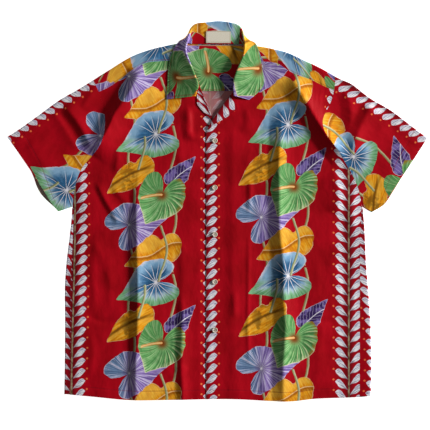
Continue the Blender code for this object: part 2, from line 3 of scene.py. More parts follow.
import bmesh
import bpy
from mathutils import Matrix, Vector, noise


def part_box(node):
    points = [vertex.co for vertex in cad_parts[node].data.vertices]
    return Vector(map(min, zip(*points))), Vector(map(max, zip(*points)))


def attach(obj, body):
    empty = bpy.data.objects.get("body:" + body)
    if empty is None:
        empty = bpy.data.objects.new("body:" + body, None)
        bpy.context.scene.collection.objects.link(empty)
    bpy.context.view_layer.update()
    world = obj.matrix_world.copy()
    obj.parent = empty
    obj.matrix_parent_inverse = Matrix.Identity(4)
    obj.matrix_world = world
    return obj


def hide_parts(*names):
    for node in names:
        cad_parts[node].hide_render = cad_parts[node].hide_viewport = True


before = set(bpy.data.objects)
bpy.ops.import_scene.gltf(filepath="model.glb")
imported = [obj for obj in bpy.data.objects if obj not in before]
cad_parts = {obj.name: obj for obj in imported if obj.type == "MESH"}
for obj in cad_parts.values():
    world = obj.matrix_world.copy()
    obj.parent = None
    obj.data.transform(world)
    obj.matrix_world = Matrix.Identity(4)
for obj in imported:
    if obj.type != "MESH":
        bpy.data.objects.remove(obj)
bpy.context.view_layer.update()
MM = 0.001

# ---- camera, floor and light
# A camera looks straight down on the laid shirt. A large soft lamp stands low on the right,
# a weaker one hangs above, and the floor is a plain white board.
VIEW_CENTRE = (-4.7, -7.8)
VIEW_WIDTH = 890.0
CAMERA_HEIGHT = 4.0
scene = bpy.context.scene
lens = bpy.data.cameras.new("camera")
lens.lens = lens.sensor_width * CAMERA_HEIGHT / (VIEW_WIDTH * MM)
camera = bpy.data.objects.new("camera", lens)
camera.location = (VIEW_CENTRE[0] * MM, VIEW_CENTRE[1] * MM, CAMERA_HEIGHT)
scene.collection.objects.link(camera)
scene.camera = camera
scene.view_settings.view_transform = "Standard"


def lamp(name, place, aim, size, power):
    light = bpy.data.lights.new(name, "AREA")
    light.size = size
    light.energy = power
    stand = bpy.data.objects.new(name, light)
    stand.location = place
    toward = [a - p for a, p in zip(aim, place)]
    flat = math.hypot(toward[0], toward[1])
    stand.rotation_euler = (math.atan2(flat, -toward[2]), 0.0, math.atan2(toward[1], toward[0]) - math.pi / 2)
    scene.collection.objects.link(stand)


lamp("side_lamp", (9.2, 1.9, 2.95), (0.0, 0.0, 0.0), 1.9, 1640.0)
lamp("high_lamp", (-0.4, 0.5, 3.0), (0.0, 0.0, 0.0), 2.4, 3.5)
room = bpy.data.worlds.new("room")
room.use_nodes = True
room.node_tree.nodes["Background"].inputs["Color"].default_value = (1.0, 1.0, 1.0, 1.0)
room.node_tree.nodes["Background"].inputs["Strength"].default_value = 0.08
scene.world = room

board = bmesh.new()
bmesh.ops.create_grid(board, x_segments=1, y_segments=1, size=4.0)
bmesh.ops.translate(board, verts=board.verts[:], vec=(0.0, 0.0, -0.4 * MM))
floor_mesh = bpy.data.meshes.new("floor")
board.to_mesh(floor_mesh)
board.free()
floor = bpy.data.objects.new("floor", floor_mesh)
scene.collection.objects.link(floor)
white = bpy.data.materials.new("white_board")
white.use_nodes = True
board_finish = white.node_tree.nodes["Principled BSDF"]
board_finish.inputs["Base Color"].default_value = (0.9, 0.9, 0.9, 1.0)
board_finish.inputs["Roughness"].default_value = 0.9
board_finish.inputs["Emission Color"].default_value = (1.0, 1.0, 1.0, 1.0)
board_finish.inputs["Emission Strength"].default_value = 1.0
floor_mesh.materials.append(white)


# ---- printed rayon
# A smooth, soft rayon in plain weave, screen printed on one side: a deep red ground, upright
# garlands of white petals, and between them bands of large leaves and orange flowers.
class Tone:
    """A value or colour in a dye recipe. Sums on it add Math nodes."""

    def __init__(self, recipe, socket):
        self.recipe, self.socket = recipe, socket

    def math(self, operation, *others):
        return self.recipe.node("ShaderNodeMath", {"operation": operation}, self, *others)

    def __add__(self, other):
        return self.math("ADD", other)

    def __sub__(self, other):
        return self.math("SUBTRACT", other)

    def __rsub__(self, other):
        return self.recipe.node("ShaderNodeMath", {"operation": "SUBTRACT"}, other, self)

    def __mul__(self, other):
        return self.math("MULTIPLY", other)

    def __truediv__(self, other):
        return self.math("DIVIDE", other)

    def __mod__(self, other):
        return self.math("FLOORED_MODULO", other)

    def __pow__(self, other):
        return self.math("POWER", other)

    def __abs__(self):
        return self.math("ABSOLUTE")

    __radd__, __rmul__ = __add__, __mul__


def dye(code):
    """A colour given as six hex digits, in light units."""
    parts = [int(code[i:i + 2], 16) / 255.0 for i in (0, 2, 4)]
    return tuple(p / 12.92 if p <= 0.04045 else ((p + 0.055) / 1.055) ** 2.4 for p in parts) + (1.0,)


class Recipe:
    """A material, and the nodes that mix it."""

    def __init__(self, name):
        self.material = bpy.data.materials.new(name)
        self.material.use_nodes = True
        self.tree = self.material.node_tree
        self.finish = self.tree.nodes["Principled BSDF"]

    def node(self, kind, settings, *values, out=0):
        made = self.tree.nodes.new(kind)
        for name, value in settings.items():
            if name == "points":
                line = made.mapping.curves[0]
                while len(line.points) < len(value):
                    line.points.new(0.5, 0.5)
                for point, (x, y, handle) in zip(line.points, value):
                    point.location = (x, y)
                    point.handle_type = handle
                made.mapping.update()
            else:
                setattr(made, name, value)
        for place, value in enumerate(values):
            if isinstance(value, Tone):
                self.tree.links.new(value.socket, made.inputs[place])
            elif value is not None:
                made.inputs[place].default_value = value
        return Tone(self, made.outputs[out])

    def fade(self, value, start, end):
        """0 before start and 1 past end, with a soft step between them."""
        return self.node("ShaderNodeMapRange", {"interpolation_type": "SMOOTHSTEP"}, value, start, end,
            0.0, 1.0)

    def ebb(self, value, start, end):
        """1 before start and 0 past end."""
        return 1.0 - self.fade(value, start, end)

    def lay(self, under, over, share):
        """One colour laid on another."""
        if isinstance(under, str):
            under = dye(under)
        if isinstance(over, str):
            over = dye(over)
        return self.node("ShaderNodeMix", {"data_type": "RGBA"}, share, None, None, None, None, None,
                         under, over, out=2)

    def coats(self, tint, *layers):
        """Colours laid one on another, each with its share."""
        for colour, share in layers:
            tint = self.lay(tint, colour, share)
        return tint

    def give(self, name, value):
        """An input of the finish, mixed or plain."""
        if isinstance(value, Tone):
            self.tree.links.new(value.socket, self.finish.inputs[name])
        else:
            self.finish.inputs[name].default_value = value

    def chart(self, name):
        """Both values of one of the cloth's maps, in millimetres."""
        split = self.node("ShaderNodeSeparateXYZ", {}, self.node("ShaderNodeUVMap", {"uv_map": name}))
        return Tone(self, split.socket) * 1000.0, Tone(self, split.socket.node.outputs[1]) * 1000.0

    def drawn(self, value, knots, handle="AUTO_CLAMPED"):
        """Height of a line through knots of (place, height) at a value."""
        first, last = knots[0][0], knots[-1][0]
        heights = [k[1] for k in knots]
        foot, top = min(heights), max(heights)
        points = [((k[0] - first) / (last - first), (k[1] - foot) / (top - foot),
            "VECTOR" if len(k) > 2 else handle)
                  for k in knots]
        share = self.node("ShaderNodeMapRange", {}, value, first, last, 0.0, 1.0)
        return self.node("ShaderNodeFloatCurve", {"points": points}, 1.0, share) * (top - foot) + foot

    def mottle(self, across, up, scale, detail=2.0):
        """Soft cloudy noise, 0 to 1, over two values."""
        place = self.node("ShaderNodeCombineXYZ", {}, across, up)
        return self.node("ShaderNodeTexNoise", {"noise_dimensions": "2D"}, place, None, scale, detail)


WIDE, TALL = 300.0, 310.0       # one repeat of the print
STAR = 174.0                    # the blue leaf's stalk, from the garland's stem
PITCH = 21.5                    # from one petal of the garland to the next


def heart(body, tip, tip_at, notch_at, notch, lobes=0.0, slim=0.0):
    """Outline of a heart-shaped leaf round its stalk, as (degrees, reach): a round body drawn out
    to a tip, with a notch cut in between two lobes. A third number marks the point of the tip."""
    knots = []
    for degrees in range(-180, 181, 12):
        from_tip = abs((degrees - tip_at + 180.0) % 360.0 - 180.0)
        from_notch = abs((degrees - notch_at + 180.0) % 360.0 - 180.0)
        round_part = body * (1.0 + slim * math.cos(math.radians(2.0 * from_tip)))
        drawn_out = (tip - body * (1.0 + slim)) * math.exp(-from_tip / 15.0)
        lobe = lobes * math.exp(-((from_notch - 42.0) / 20.0) ** 2)
        cut = 1.0 - notch * math.exp(-(from_notch / 17.0) ** 2)
        knots.append((degrees, (round_part + drawn_out + lobe) * cut) + ((0,) if from_tip < 1.0 else ()))
    return tuple(knots)


BLUE_LEAF = heart(48.0, 90.0, -156, 12, 0.93, 6.0)
FLOWER = heart(40.0, 80.0, -156, 84, 0.35, 4.0, 0.16)
CURLED = heart(33.0, 78.0, -144, 96, 0.30, 2.0, 0.26)
POINTED = heart(24.0, 60.0, 48, -132, 0.30, 2.0, 0.10)
ANTHURIUM = heart(48.0, 72.0, -120, 72, 0.85, 5.0)
LILAC_LEAF = heart(46.0, 84.0, 12, -144, 0.90, 8.0)


def leaf(r, across, up, centre, outline):
    """A leaf's own readings at each point: sideways, up, turn in degrees and reach from its stalk,
    the reach of its edge there, and how far inside the edge the point lies."""
    a = across - centre[0]
    b = (up - centre[1] + 0.5 * TALL) % TALL - 0.5 * TALL
    turn = b.math("ARCTAN2", a) * (180.0 / math.pi)
    reach = (a * a + b * b) ** 0.5
    waver = r.mottle(turn * 0.045, centre[0] * 0.1, 1.0, 1.0)
    edge = r.drawn(turn, outline) + (waver - 0.5) * 6.0
    return a, b, turn, reach, edge, edge - reach


def ribs(r, turn, reach, angles, width):
    """Lines fanning out from a leaf's stalk at these angles, 1 on the line."""
    knots = [(-180.0, 40.0)]
    for one, two in zip(angles, angles[1:] + (angles[-1] + 80.0,)):
        knots += [(one, 0.0), (0.5 * (one + two), 0.5 * (two - one))]
    knots = [k for k in knots if k[0] < 180.0] + [(180.0, 40.0)]
    off = r.drawn(turn, knots, "VECTOR") * reach * (math.pi / 180.0)
    return r.ebb(off, 0.3 * width, width)


def stalk(r, across, up, middle, swing, turn, foot, top, width=2.5):
    """A gently swaying stem from foot to top: its cover and its shade."""
    height = (up - foot) % TALL + foot
    off = across - ((height * (2.0 * math.pi / 155.0) + turn).math("SINE") * swing + middle)
    ends = r.fade(height, foot, foot + 2.0) * r.ebb(height, top - 2.0, top)
    return r.ebb(abs(off), width - 0.5, width + 0.5) * ends, r.fade(off, -width, width)


def garland(r, ground, across, up, cloudy):
    """Petals on both sides of a stem, each with a dot past its tip."""
    side = across.math("SIGN")
    out = abs(across)
    reach = (out / 28.5).math("MINIMUM", 1.2)
    lift = (reach * 1.35).math("SINE") * 20.0 - 3.0
    stagger = side * (0.25 * PITCH)
    cell = (up - lift + stagger) % PITCH - 0.5 * PITCH
    half = (reach ** 1.5 * math.pi).math("SINE") * 8.4
    depth = half - abs(cell)
    cover = r.fade(depth, -0.2, 0.8) * r.fade(out, 1.5, 3.0)
    streak = r.mottle(out * 0.05, cell * 0.5 + up * 0.11, 1.0, 3.0)
    inner = r.fade(depth, 1.0, 2.6)
    petal = r.lay("D8B4D0", "FFFDFF", r.fade(depth, 0.3, 1.6))
    shaded = r.fade(cell + (streak - 0.5) * 26.0, -3.5, 5.0)
    petal = r.lay(petal, "AAA2CA", inner * shaded * 0.62)
    petal = r.lay(petal, "4C4270", inner * r.fade(streak, 0.56, 0.62) * 0.62)
    petal = r.lay(petal, "FFFFFF", inner * r.ebb(streak, 0.36, 0.42) * 0.7)
    petal = r.lay(petal, "38223C", r.ebb(out, 4.0, 15.0) * r.fade(cell, 3.0, -2.0) * 0.85)
    result = r.lay(ground, "46040F", r.ebb(out, 1.0, 17.0) * 0.75)
    result = r.lay(result, petal, cover)
    dot_off = (up + stagger - 20.5) % PITCH - 0.5 * PITCH
    dot = ((out - 31.5) * (out - 31.5) + dot_off * dot_off) ** 0.5
    result = r.lay(result, "FF7A45", r.ebb(dot, 1.5, 2.5))
    stem = r.ebb(out, 1.1, 2.0)
    return r.lay(result, r.lay("5C4A30", "A79878", r.fade(cloudy, 0.35, 0.6)), stem)


def band(r, ground, across, up, cloudy):
    """The tall band of leaves and flowers, from the lowest layer to the top one."""
    result = ground
    for middle, swing, turn, foot, top in ((-50.0, 7.0, 0.5, -232.0, 76.0), (35.0, 7.0, 2.4, -290.0, 18.0),
                                           (-12.0, 4.0, 1.2, -246.0, -186.0)):
        cover, shade = stalk(r, across, up, middle, swing, turn, foot, top)
        result = r.lay(result, r.lay("7E7A48", "D8CFA2", shade), cover)

    # lilac leaf with three lobes
    a, b, turn, reach, edge, depth = leaf(r, across, up, (-55, -190), LILAC_LEAF)
    share = reach / edge
    fine = r.mottle(turn * 0.36, reach * 0.014, 1.0, 4.0)
    angles = tuple(range(-117, 166, 21))
    tint = r.coats(
        "7E9CC2",
        ("AC92D2", r.fade(a, -20.0, 6.0)),
        (r.lay("3A4E78", "57408A", r.fade(a, -20.0, 6.0)), r.fade(fine, 0.48, 0.62) * 0.8),
        ("E2DAF0", r.ebb(fine, 0.36, 0.44) * r.fade(share, 0.15, 0.4) * 0.8),
        ("E6DFF2", ribs(r, turn, reach, angles, 0.9) * r.ebb(share, 0.4, 0.9) * 0.8),
        ("3E2A5C", r.ebb(share, 0.08, 0.40) * r.fade(fine, 0.42, 0.55) * 0.7),
        ("F2ECF6", r.ebb(reach, 1.2, 3.2)),
        ("EFE8F4", r.ebb(depth, 0.6, 1.6) * r.fade(cloudy, 0.40, 0.54) * 0.75))
    result = r.lay(result, tint, r.fade(depth, -0.3, 0.5))

    # open orange flower, its upper lip rolled over
    a, b, turn, reach, edge, depth = leaf(r, across, up, (8, 66), FLOWER)
    fine = r.mottle(a * 0.10 + b * 0.05, b * 0.016, 3.0, 4.0)
    lip = b - ((a * 0.07).math("SINE") * 5.0 + a * 0.34 + 2.0)
    tint = r.coats(
        "FBAA1E",
        ("DB7B0C", r.fade(fine, 0.46, 0.64) * 0.6),
        ("FFCB4E", r.ebb(fine, 0.34, 0.46) * 0.6),
        ("D06C0A", r.fade(cloudy, 0.52, 0.62) * 0.35),
        ("FFCB50", r.fade(lip, 4.0, 12.0) * 0.45),
        ("9A4A08", r.ebb(abs(lip + 3.5), 0.3, 6.0) * 0.7),
        ("FFD69A", r.ebb(abs(lip), 0.4, 1.3) * 0.9),
        ("F2B58A", r.fade(a, 20.0, 44.0) * r.ebb(b, -24.0, -4.0) * 0.55),
        ("C8560C", r.ebb(depth, 1.0, 3.4) * 0.45),
        ("FFDDA8", r.ebb(depth, 0.7, 1.5) * r.fade(cloudy, 0.36, 0.50) * 0.85))
    result = r.lay(result, tint, r.fade(depth, -0.3, 0.5))

    # blue leaf going green to its rim, with white ribs
    a, b, turn, reach, edge, depth = leaf(r, across, up, (0, 0), BLUE_LEAF)
    share = reach / edge
    fine = r.mottle(turn * 0.30, reach * 0.012, 1.0, 4.0)
    low_part = r.fade(b, 0.0, -24.0)
    bent = turn + (reach * 0.06).math("SINE") * 4.0
    angles = tuple(range(-156, 166, 24))
    tint = r.coats(
        "4480B0",
        ("93BCDC", r.fade(share + (cloudy - 0.5) * 0.7, 0.35, 0.85)),
        ("1C466C", r.fade(fine, 0.45, 0.58) * r.ebb(share, 0.40, 0.80) * 0.9),
        ("16334F", r.ebb(share, 0.10, 0.42) * r.fade(cloudy, 0.40, 0.58) * 0.6),
        ("C9DCE2", r.fade(share + (fine - 0.5) * 0.9, 0.44, 0.66) * low_part * 0.8),
        ("86BE8C", r.fade(share + (fine - 0.5) * 0.6, 0.58, 0.84) * low_part),
        ("39804A", r.fade(fine, 0.50, 0.62) * r.fade(share, 0.72, 0.96) * low_part * 0.75),
        ("EFEAF0", r.fade(share, 0.84, 1.0) * (1.0 - low_part) * r.fade(cloudy, 0.55, 0.42) * 0.7),
        ("17395C", ribs(r, bent + 4.0, reach, angles, 1.8) * r.ebb(share, 0.55, 0.9) * 0.55),
        ("EEEDF6", ribs(r, bent, reach, angles, 1.0) * r.ebb(share, 0.50, 0.94) * 0.9),
        ("F6F1F4", r.ebb(reach, 1.4, 3.6)),
        ("E6D6DE", r.fade(share, 0.965, 0.985) * (1.0 - low_part) * 0.8))
    result = r.lay(result, tint, r.fade(depth, -0.3, 0.5))

    # curled orange flower with a long tip
    a, b, turn, reach, edge, depth = leaf(r, across, up, (-40, -80), CURLED)
    fine = r.mottle((a + b * 0.6) * 0.010, (b - a * 0.6) * 0.075, 3.0, 3.0)
    gap = b - (a * 0.42 - a * a * 0.003)
    tint = r.coats(
        "FBAA1E",
        ("D87A0C", r.fade(fine, 0.46, 0.64) * 0.6),
        ("FFCB4E", r.ebb(fine, 0.34, 0.46) * 0.6),
        ("FFC650", r.fade(gap, -12.0, -5.0) * r.ebb(gap, -4.0, -1.0) * 0.5),
        ("5E3A0C", r.ebb(abs(gap - 1.5), 0.6, 5.5) * r.fade(a, 50.0, 10.0) * 0.8),
        ("6A4A10", r.fade(a, 6.0, -12.0) * r.ebb(a, -20.0, -44.0) * r.fade(cloudy, 0.44, 0.56) * 0.6),
        ("B8500A", r.ebb(depth, 1.0, 3.2) * 0.45),
        ("FFDDA8", r.ebb(depth, 0.6, 1.4) * r.fade(cloudy, 0.36, 0.50) * 0.85))
    result = r.lay(result, tint, r.fade(depth, -0.3, 0.5))

    # small purple leaf with a long tip
    a, b, turn, reach, edge, depth = leaf(r, across, up, (42, -92), POINTED)
    length = (a + b) * 0.7071
    width = (b - a) * 0.7071
    side_ribs = abs((length - abs(width) * 1.1 + (cloudy - 0.5) * 8.0) % 9.5 - 4.7)
    tint = r.coats(
        "7D68AC",
        ("3E2A62", r.fade(cloudy, 0.42, 0.56)),
        ("CFC4E4", r.ebb(side_ribs, 0.2, 1.0) * 0.6),
        ("F0E9F6", r.ebb(abs(width + length * length * 0.004), 0.4, 1.3)),
        ("E6DAEC", r.ebb(depth, 0.4, 1.6) * 0.8))
    result = r.lay(result, tint, r.fade(depth, -0.3, 0.5))

    # green leaf with its flower's spike and a brown flush round the stalk
    a, b, turn, reach, edge, depth = leaf(r, across, up, (13, -128), ANTHURIUM)
    share = reach / edge
    bent = turn + reach * 0.45
    fine = r.mottle(bent * 0.24, reach * 0.014, 1.0, 4.0)
    angles = tuple(range(-98, 24, 17))
    spike = abs(b + a * a * 0.004 - 1.0) + r.fade(a, -1.0, 4.0) * 4.0
    spike_cover = r.ebb(spike, 2.4, 3.3) * r.fade(a, -45.0, -42.0)
    tint = r.coats(
        "8AC67C",
        ("3E8842", r.fade(fine, 0.46, 0.62) * 0.75),
        ("C2DFA6", r.ebb(fine, 0.34, 0.44) * 0.6),
        ("2C6A34", r.fade(cloudy, 0.50, 0.62) * 0.3),
        ("3F7A3A", r.fade(b, -4.0, 8.0) * r.fade(a, 0.0, -14.0) * 0.4),
        ("D4E8B4", r.fade(share, 0.80, 0.98) * r.fade(b, -10.0, -40.0) * r.fade(fine, 0.60, 0.46) * 0.7),
        ("1F5A2A", ribs(r, bent - 13.0, reach, angles, 2.4) * r.fade(share, 0.25, 0.5)
         * r.fade(a, -10.0, 6.0) * 0.6),
        ("F2EBB6", ribs(r, bent - 18.0, reach, angles, 0.95) * r.fade(share, 0.40, 0.75)
         * r.fade(a, -8.0, 6.0) * 0.9),
        ("DCE8A8", ribs(r, bent, reach, (-160, -135, 110, 135, 160), 0.9) * r.fade(share, 0.3, 0.6) * 0.4),
        ("A8761A", r.fade(share, 0.78, 1.0) * r.fade(a, 4.0, 34.0) * r.fade(fine, 0.42, 0.55) * 0.9),
        ("8A4210", r.ebb(reach + fine * 12.0, 8.0, 24.0)),
        ("F0E8B4", r.fade(share, 0.965, 0.985) * r.ebb(b, -34.0, -6.0) * 0.85),
        (r.lay("F8CE8A", "D8822A", r.fade(spike, 0.6, 2.6)), spike_cover))
    result = r.lay(result, tint, r.fade(depth, -0.3, 0.5))

    # stalks that pass in front
    for middle, swing, turn, foot, top in ((14.0, 9.0, -1.2, 0.0, 120.0), (-30.0, 8.0, 2.2, -76.0, -4.0)):
        cover, shade = stalk(r, across, up, middle, swing, turn, foot, top)
        result = r.lay(result, r.lay("77804E", "D6D3A6", shade), cover)
    return result


def rayon(name, wrong_side=False):
    """The printed cloth, or its paler wrong side."""
    r = Recipe(name)
    across, up = r.chart("print")
    wander = r.mottle(across, up, 0.11, 2.0)
    across = across + (wander - 0.5) * 1.5
    up = up + (r.mottle(up, across, 0.09, 2.0) - 0.5) * 1.5
    cloudy = r.mottle(across, up, 0.06, 3.0)
    clouds = r.mottle(across, up, 0.016, 2.0)
    ground = r.lay("AE0012", "BE0018", r.fade(clouds, 0.35, 0.65))
    thread = r.mottle(across * 0.25, up * 4.0, 1.0, 1.0) * 0.5 + r.mottle(across * 4.0, up * 0.25, 1.0,
        1.0) * 0.5
    near = (across + 0.5 * WIDE) % WIDE - 0.5 * WIDE
    colour = garland(r, ground, near, up, cloudy)
    colour = band(r, colour, (across + 30.0) % WIDE - 30.0 - STAR, up, cloudy)
    colour = r.lay(colour, "2A0008", r.fade(thread, 0.56, 0.72) * 0.10)

    # rows of stitching, on the second map: distance from the row, and run along it
    off, run = r.chart("sewing")
    off = abs(off)
    # the groove beside each row of stitching is sunk in the bump, and is also darkened as painted shade in
    # the colour below
    groove_and_shade = r.ebb(off, 0.3, 2.2)
    stitch = r.ebb(off, 0.35, 0.6) * r.ebb(abs(run % 2.6 - 1.3), 0.85, 1.1)
    # painted shade: the cloth is darkened a little along the groove on either side of each row of stitching
    colour = r.lay(colour, "5E0010", groove_and_shade * 0.10)
    colour = r.lay(colour, "B4182C", stitch * 0.5)
    if wrong_side:
        colour = r.lay(colour, "C58C8C", 0.72)
    r.give("Base Color", colour)
    gloss = r.node("ShaderNodeMapRange", {}, thread + clouds * 0.5, 0.5, 1.1, 0.52, 0.68)
    r.give("Roughness", gloss)
    rumple = r.mottle(across, up * 0.6, 0.035, 3.0)
    height = thread * 0.10 + rumple * 1.5 - groove_and_shade * 0.25 + stitch * 0.25
    bump = r.node("ShaderNodeBump", {}, 0.8, 0.001, 1.0, height)
    r.give("Normal", bump)
    r.give("Sheen Weight", 0.015)
    r.give("Sheen Roughness", 0.4)
    r.give("Specular IOR Level", 0.10)
    return r.material


RIGHT_SIDE = rayon("printed_rayon")
WRONG_SIDE = rayon("rayon_wrong_side", wrong_side=True)


# ---- back
# One piece across the whole back, from the hem to the yoke. It lies face down, and its sides
# turn over to the front, where the side seams are.
WALL = 1.0              # thickness of the cloth, in millimetres as all sizes here
GAP = 0.3
STEP = WALL + GAP       # from one layer to the next above it
LOFT = 1.5              # extra height where cloth turns over at a fold
SEAM = 0.03
UNDERARM = 3.0
HEM_LEVEL = -379.0      # height of the hem at the side seams
BODY = UNDERARM - HEM_LEVEL
NECK_BACK = 344.0
# fold of the body's side against height: (y, left x, right x)
SIDE = ((-394, -315.0, 315.5), (-340, -314.0, 317.0), (-290, -313.5, 317.0), (-223, -313.0, 315.0),
        (-161, -313.5, 310.5), (-105, -310.0, 306.0), (-60, -304.5, 304.0), (-20, -300.5, 302.0),
        (4, -299.5, 300.0))
SIDE_SEAM = ((-394, -304.0, 294.5), (-290, -303.5, 295.0), (-160, -303.0, 295.0), (-60, -299.0, 296.0),
             (-20, -297.5, 297.5), (4, -298.2, 298.7))
HEM = ((-330, -377), (-304, -379.5), (-250, -384.5), (-193, -390), (-140, -391), (-28, -389),
       (43, -389), (144, -393.5), (208, -387.5), (295, -384.5), (330, -380))
# fold of the shoulder and of the sleeve's top
SHOULDER_L = ((-433.4, 152.5), (-408, 168.5), (-367, 198), (-325, 228.5), (-284, 252), (-256, 269.5),
              (-243, 278), (-222, 291), (-181, 316), (-139, 331.5), (-98, 342), (-80, 345), (-60, 346.5))
SHOULDER_R = ((433.4, 150), (399, 176), (358, 207), (316, 231.5), (279, 260), (256, 270.5),
              (243.5, 277), (213, 294.5), (171, 314), (140, 327), (100, 337), (80, 340), (60, 344))
# armhole seam from the shoulder fold down to the underarm
ARMHOLE_L = ((-256, 269.5), (-250.5, 258.5), (-245, 247), (-240, 231), (-235, 213), (-232, 195),
             (-231.5, 178), (-233.5, 160), (-239, 143), (-247, 129), (-257.5, 116), (-268, 104),
             (-278, 92), (-287, 75), (-293, 55), (-297, 32), (-299.5, 9))
ARMHOLE_R = ((243.5, 277), (243.5, 264), (241.5, 251), (238, 235), (231, 218), (223, 203),
             (217.5, 187), (219.5, 170), (228, 154), (239, 139), (250, 124), (260, 108),
             (269.5, 92), (280, 74), (289, 54), (295.5, 32), (299.5, 9))
CORNER = 2              # knot of the armhole where the yoke's two seams meet it


def smooth(a, b, x):
    t = min(max((x - a) / (b - a), 0.0), 1.0)
    return t * t * (3.0 - 2.0 * t)


def spline(knots, parts):
    """A smooth line through the knots, cut into this many parts between each two."""
    line = []
    last = len(knots) - 1
    for i in range(last):
        ring = (knots[max(i - 1, 0)], knots[i], knots[i + 1], knots[min(i + 2, last)])
        for k in range(parts):
            t = k / parts
            w = (-0.5 * t + t * t - 0.5 * t ** 3, 1.0 - 2.5 * t * t + 1.5 * t ** 3,
                 0.5 * t + 2.0 * t * t - 1.5 * t ** 3, -0.5 * t * t + 0.5 * t ** 3)
            line.append(tuple(sum(w[j] * ring[j][c] for j in range(4)) for c in range(len(knots[0]))))
    line.append(tuple(float(c) for c in knots[-1]))
    return line


def along(line, parts):
    """A line cut anew into equal parts of its length."""
    run = [0.0]
    for a, b in zip(line, line[1:]):
        run.append(run[-1] + math.dist(a, b))
    out, i = [], 0
    for k in range(parts + 1):
        want = run[-1] * k / parts
        while i < len(line) - 2 and run[i + 1] < want:
            i += 1
        t = (want - run[i]) / max(run[i + 1] - run[i], 1e-9)
        out.append(tuple(a + (b - a) * t for a, b in zip(line[i], line[i + 1])))
    return out


def read(table, x, column=1):
    """A table's column at x, on a straight line between its rows."""
    rows = sorted(table)
    if x <= rows[0][0]:
        return rows[0][column]
    for a, b in zip(rows, rows[1:]):
        if x <= b[0]:
            return a[column] + (b[column] - a[column]) * (x - a[0]) / (b[0] - a[0])
    return rows[-1][column]


SIDE_LINE, SEAM_LINE, HEM_LINE = spline(SIDE, 6), spline(SIDE_SEAM, 6), spline(HEM, 6)
SHOULDERS = {-1: spline(SHOULDER_L, 6), 1: spline(SHOULDER_R, 6)}


def fold_x(y, side):
    return read(SIDE_LINE, y, 1 if side < 0 else 2)


def seam_x(y, side):
    return read(SEAM_LINE, y, 1 if side < 0 else 2)


def shoulder_y(x):
    return 346.0 if abs(x) < 60.0 else read(SHOULDERS[-1 if x < 0 else 1], x)


def near_fold(x, y):
    """1 on a fold of the outline, falling to 0 inside it."""
    at_top = math.exp(-(0.86 * (shoulder_y(x) - y) / 20.0) ** 2) * smooth(95.0, 130.0, abs(x))
    at_side = 0.0
    if y < 4.0:
        inside = min(x - fold_x(y, -1), fold_x(y, 1) - x)
        at_side = math.exp(-(inside / 20.0) ** 2) * smooth(0.0, -50.0, y)
    return max(at_top, at_side)


def low(x, y):
    """Middle of the bottom layer, which lies over the collar at the neck."""
    return 0.5 * WALL + STEP * (1.0 - smooth(88.0, 116.0, abs(x))) * smooth(298.0, 312.0, y)


def lined(x, y):
    return (1.0 - smooth(150.0, 190.0, abs(x))) * smooth(205.0, 230.0, y)


def high(x, y):
    """Middle of the top layer, on the back and on the yoke's lining."""
    return low(x, y) + STEP * (1.0 + lined(x, y)) + LOFT * near_fold(x, y)


def lapped(x, y):
    """Middle of the left front, which also lies on the right front's edge."""
    return high(x, y) + STEP * (1.0 - smooth(30.0, 90.0, x)) * (1.0 - smooth(205.0, 245.0, y))


def turn_over(centre, out, foot, top, steps):
    """Middle points round a fold from the bottom layer to the top one, without its two ends."""
    radius = 0.5 * (top - foot)
    line = []
    for k in range(1, steps):
        angle = math.pi * k / steps
        reach = radius * math.sin(angle)
        line.append((centre[0] + out[0] * reach, centre[1] + out[1] * reach,
                     foot + radius * (1.0 - math.cos(angle))))
    return line


def shift(line, by):
    """The line moved sideways in plan, to its left for a positive distance."""
    out = []
    for i, p in enumerate(line):
        a, b = line[max(i - 1, 0)], line[min(i + 1, len(line) - 1)]
        size = math.hypot(b[0] - a[0], b[1] - a[1])
        out.append((p[0] - (b[1] - a[1]) / size * by, p[1] + (b[0] - a[0]) / size * by))
    return out


def patch(left, right, bottom, top):
    """Plan points between four border lines, rows by columns."""
    rows = []
    n, m = len(bottom) - 1, len(left) - 1
    for j in range(m + 1):
        row = []
        for i in range(n + 1):
            a, b = i / n, j / m
            row.append(tuple((1 - a) * left[j][c] + a * right[j][c] + (1 - b) * bottom[i][c] + b * top[i][c]
                             - (1 - a) * (1 - b) * left[0][c] - a * (1 - b) * right[0][c]
                             - (1 - a) * b * left[-1][c] - a * b * right[-1][c] for c in (0, 1)))
        rows.append(row)
    return rows


def cloth(name, rows, print_at, sewing_at, sides, closed=False, wall=WALL):
    """A sheet of cloth through rows of middle points, with its place in the print and its stitching."""
    many, tall = len(rows[0]) - 1, len(rows) - 1
    made = bmesh.new()
    printed = made.loops.layers.uv.new("print")
    sewn = made.loops.layers.uv.new("sewing")
    bmesh.ops.create_grid(made, x_segments=many, y_segments=tall, size=0.5)
    where = {}
    for vert in made.verts:
        i, j = round((vert.co.x + 0.5) * many), round((vert.co.y + 0.5) * tall)
        where[vert] = (i, j)
    for face in made.faces:
        for loop in face.loops:
            i, j = where[loop.vert]
            loop[printed].uv = [c * MM for c in print_at(i, j)]
            loop[sewn].uv = [c * MM for c in sewing_at(i, j)]
    for vert, (i, j) in where.items():
        vert.co = [c * MM for c in rows[j][i]]
    if closed:
        edge = [v for v, (i, j) in where.items() if i in (0, many)]
        bmesh.ops.remove_doubles(made, verts=edge, dist=0.02 * MM)
    for edge in made.edges:
        edge.smooth = not edge.is_boundary
    mesh = bpy.data.meshes.new(name)
    made.to_mesh(mesh)
    made.free()
    for face in mesh.polygons:
        face.use_smooth = True
    piece = bpy.data.objects.new(name, mesh)
    scene.collection.objects.link(piece)
    for material in sides:
        mesh.materials.append(material)
    thick = piece.modifiers.new("wall", "SOLIDIFY")
    thick.thickness = wall * MM
    thick.offset = 0.0
    thick.use_even_offset = False
    thick.material_offset = 1
    return piece


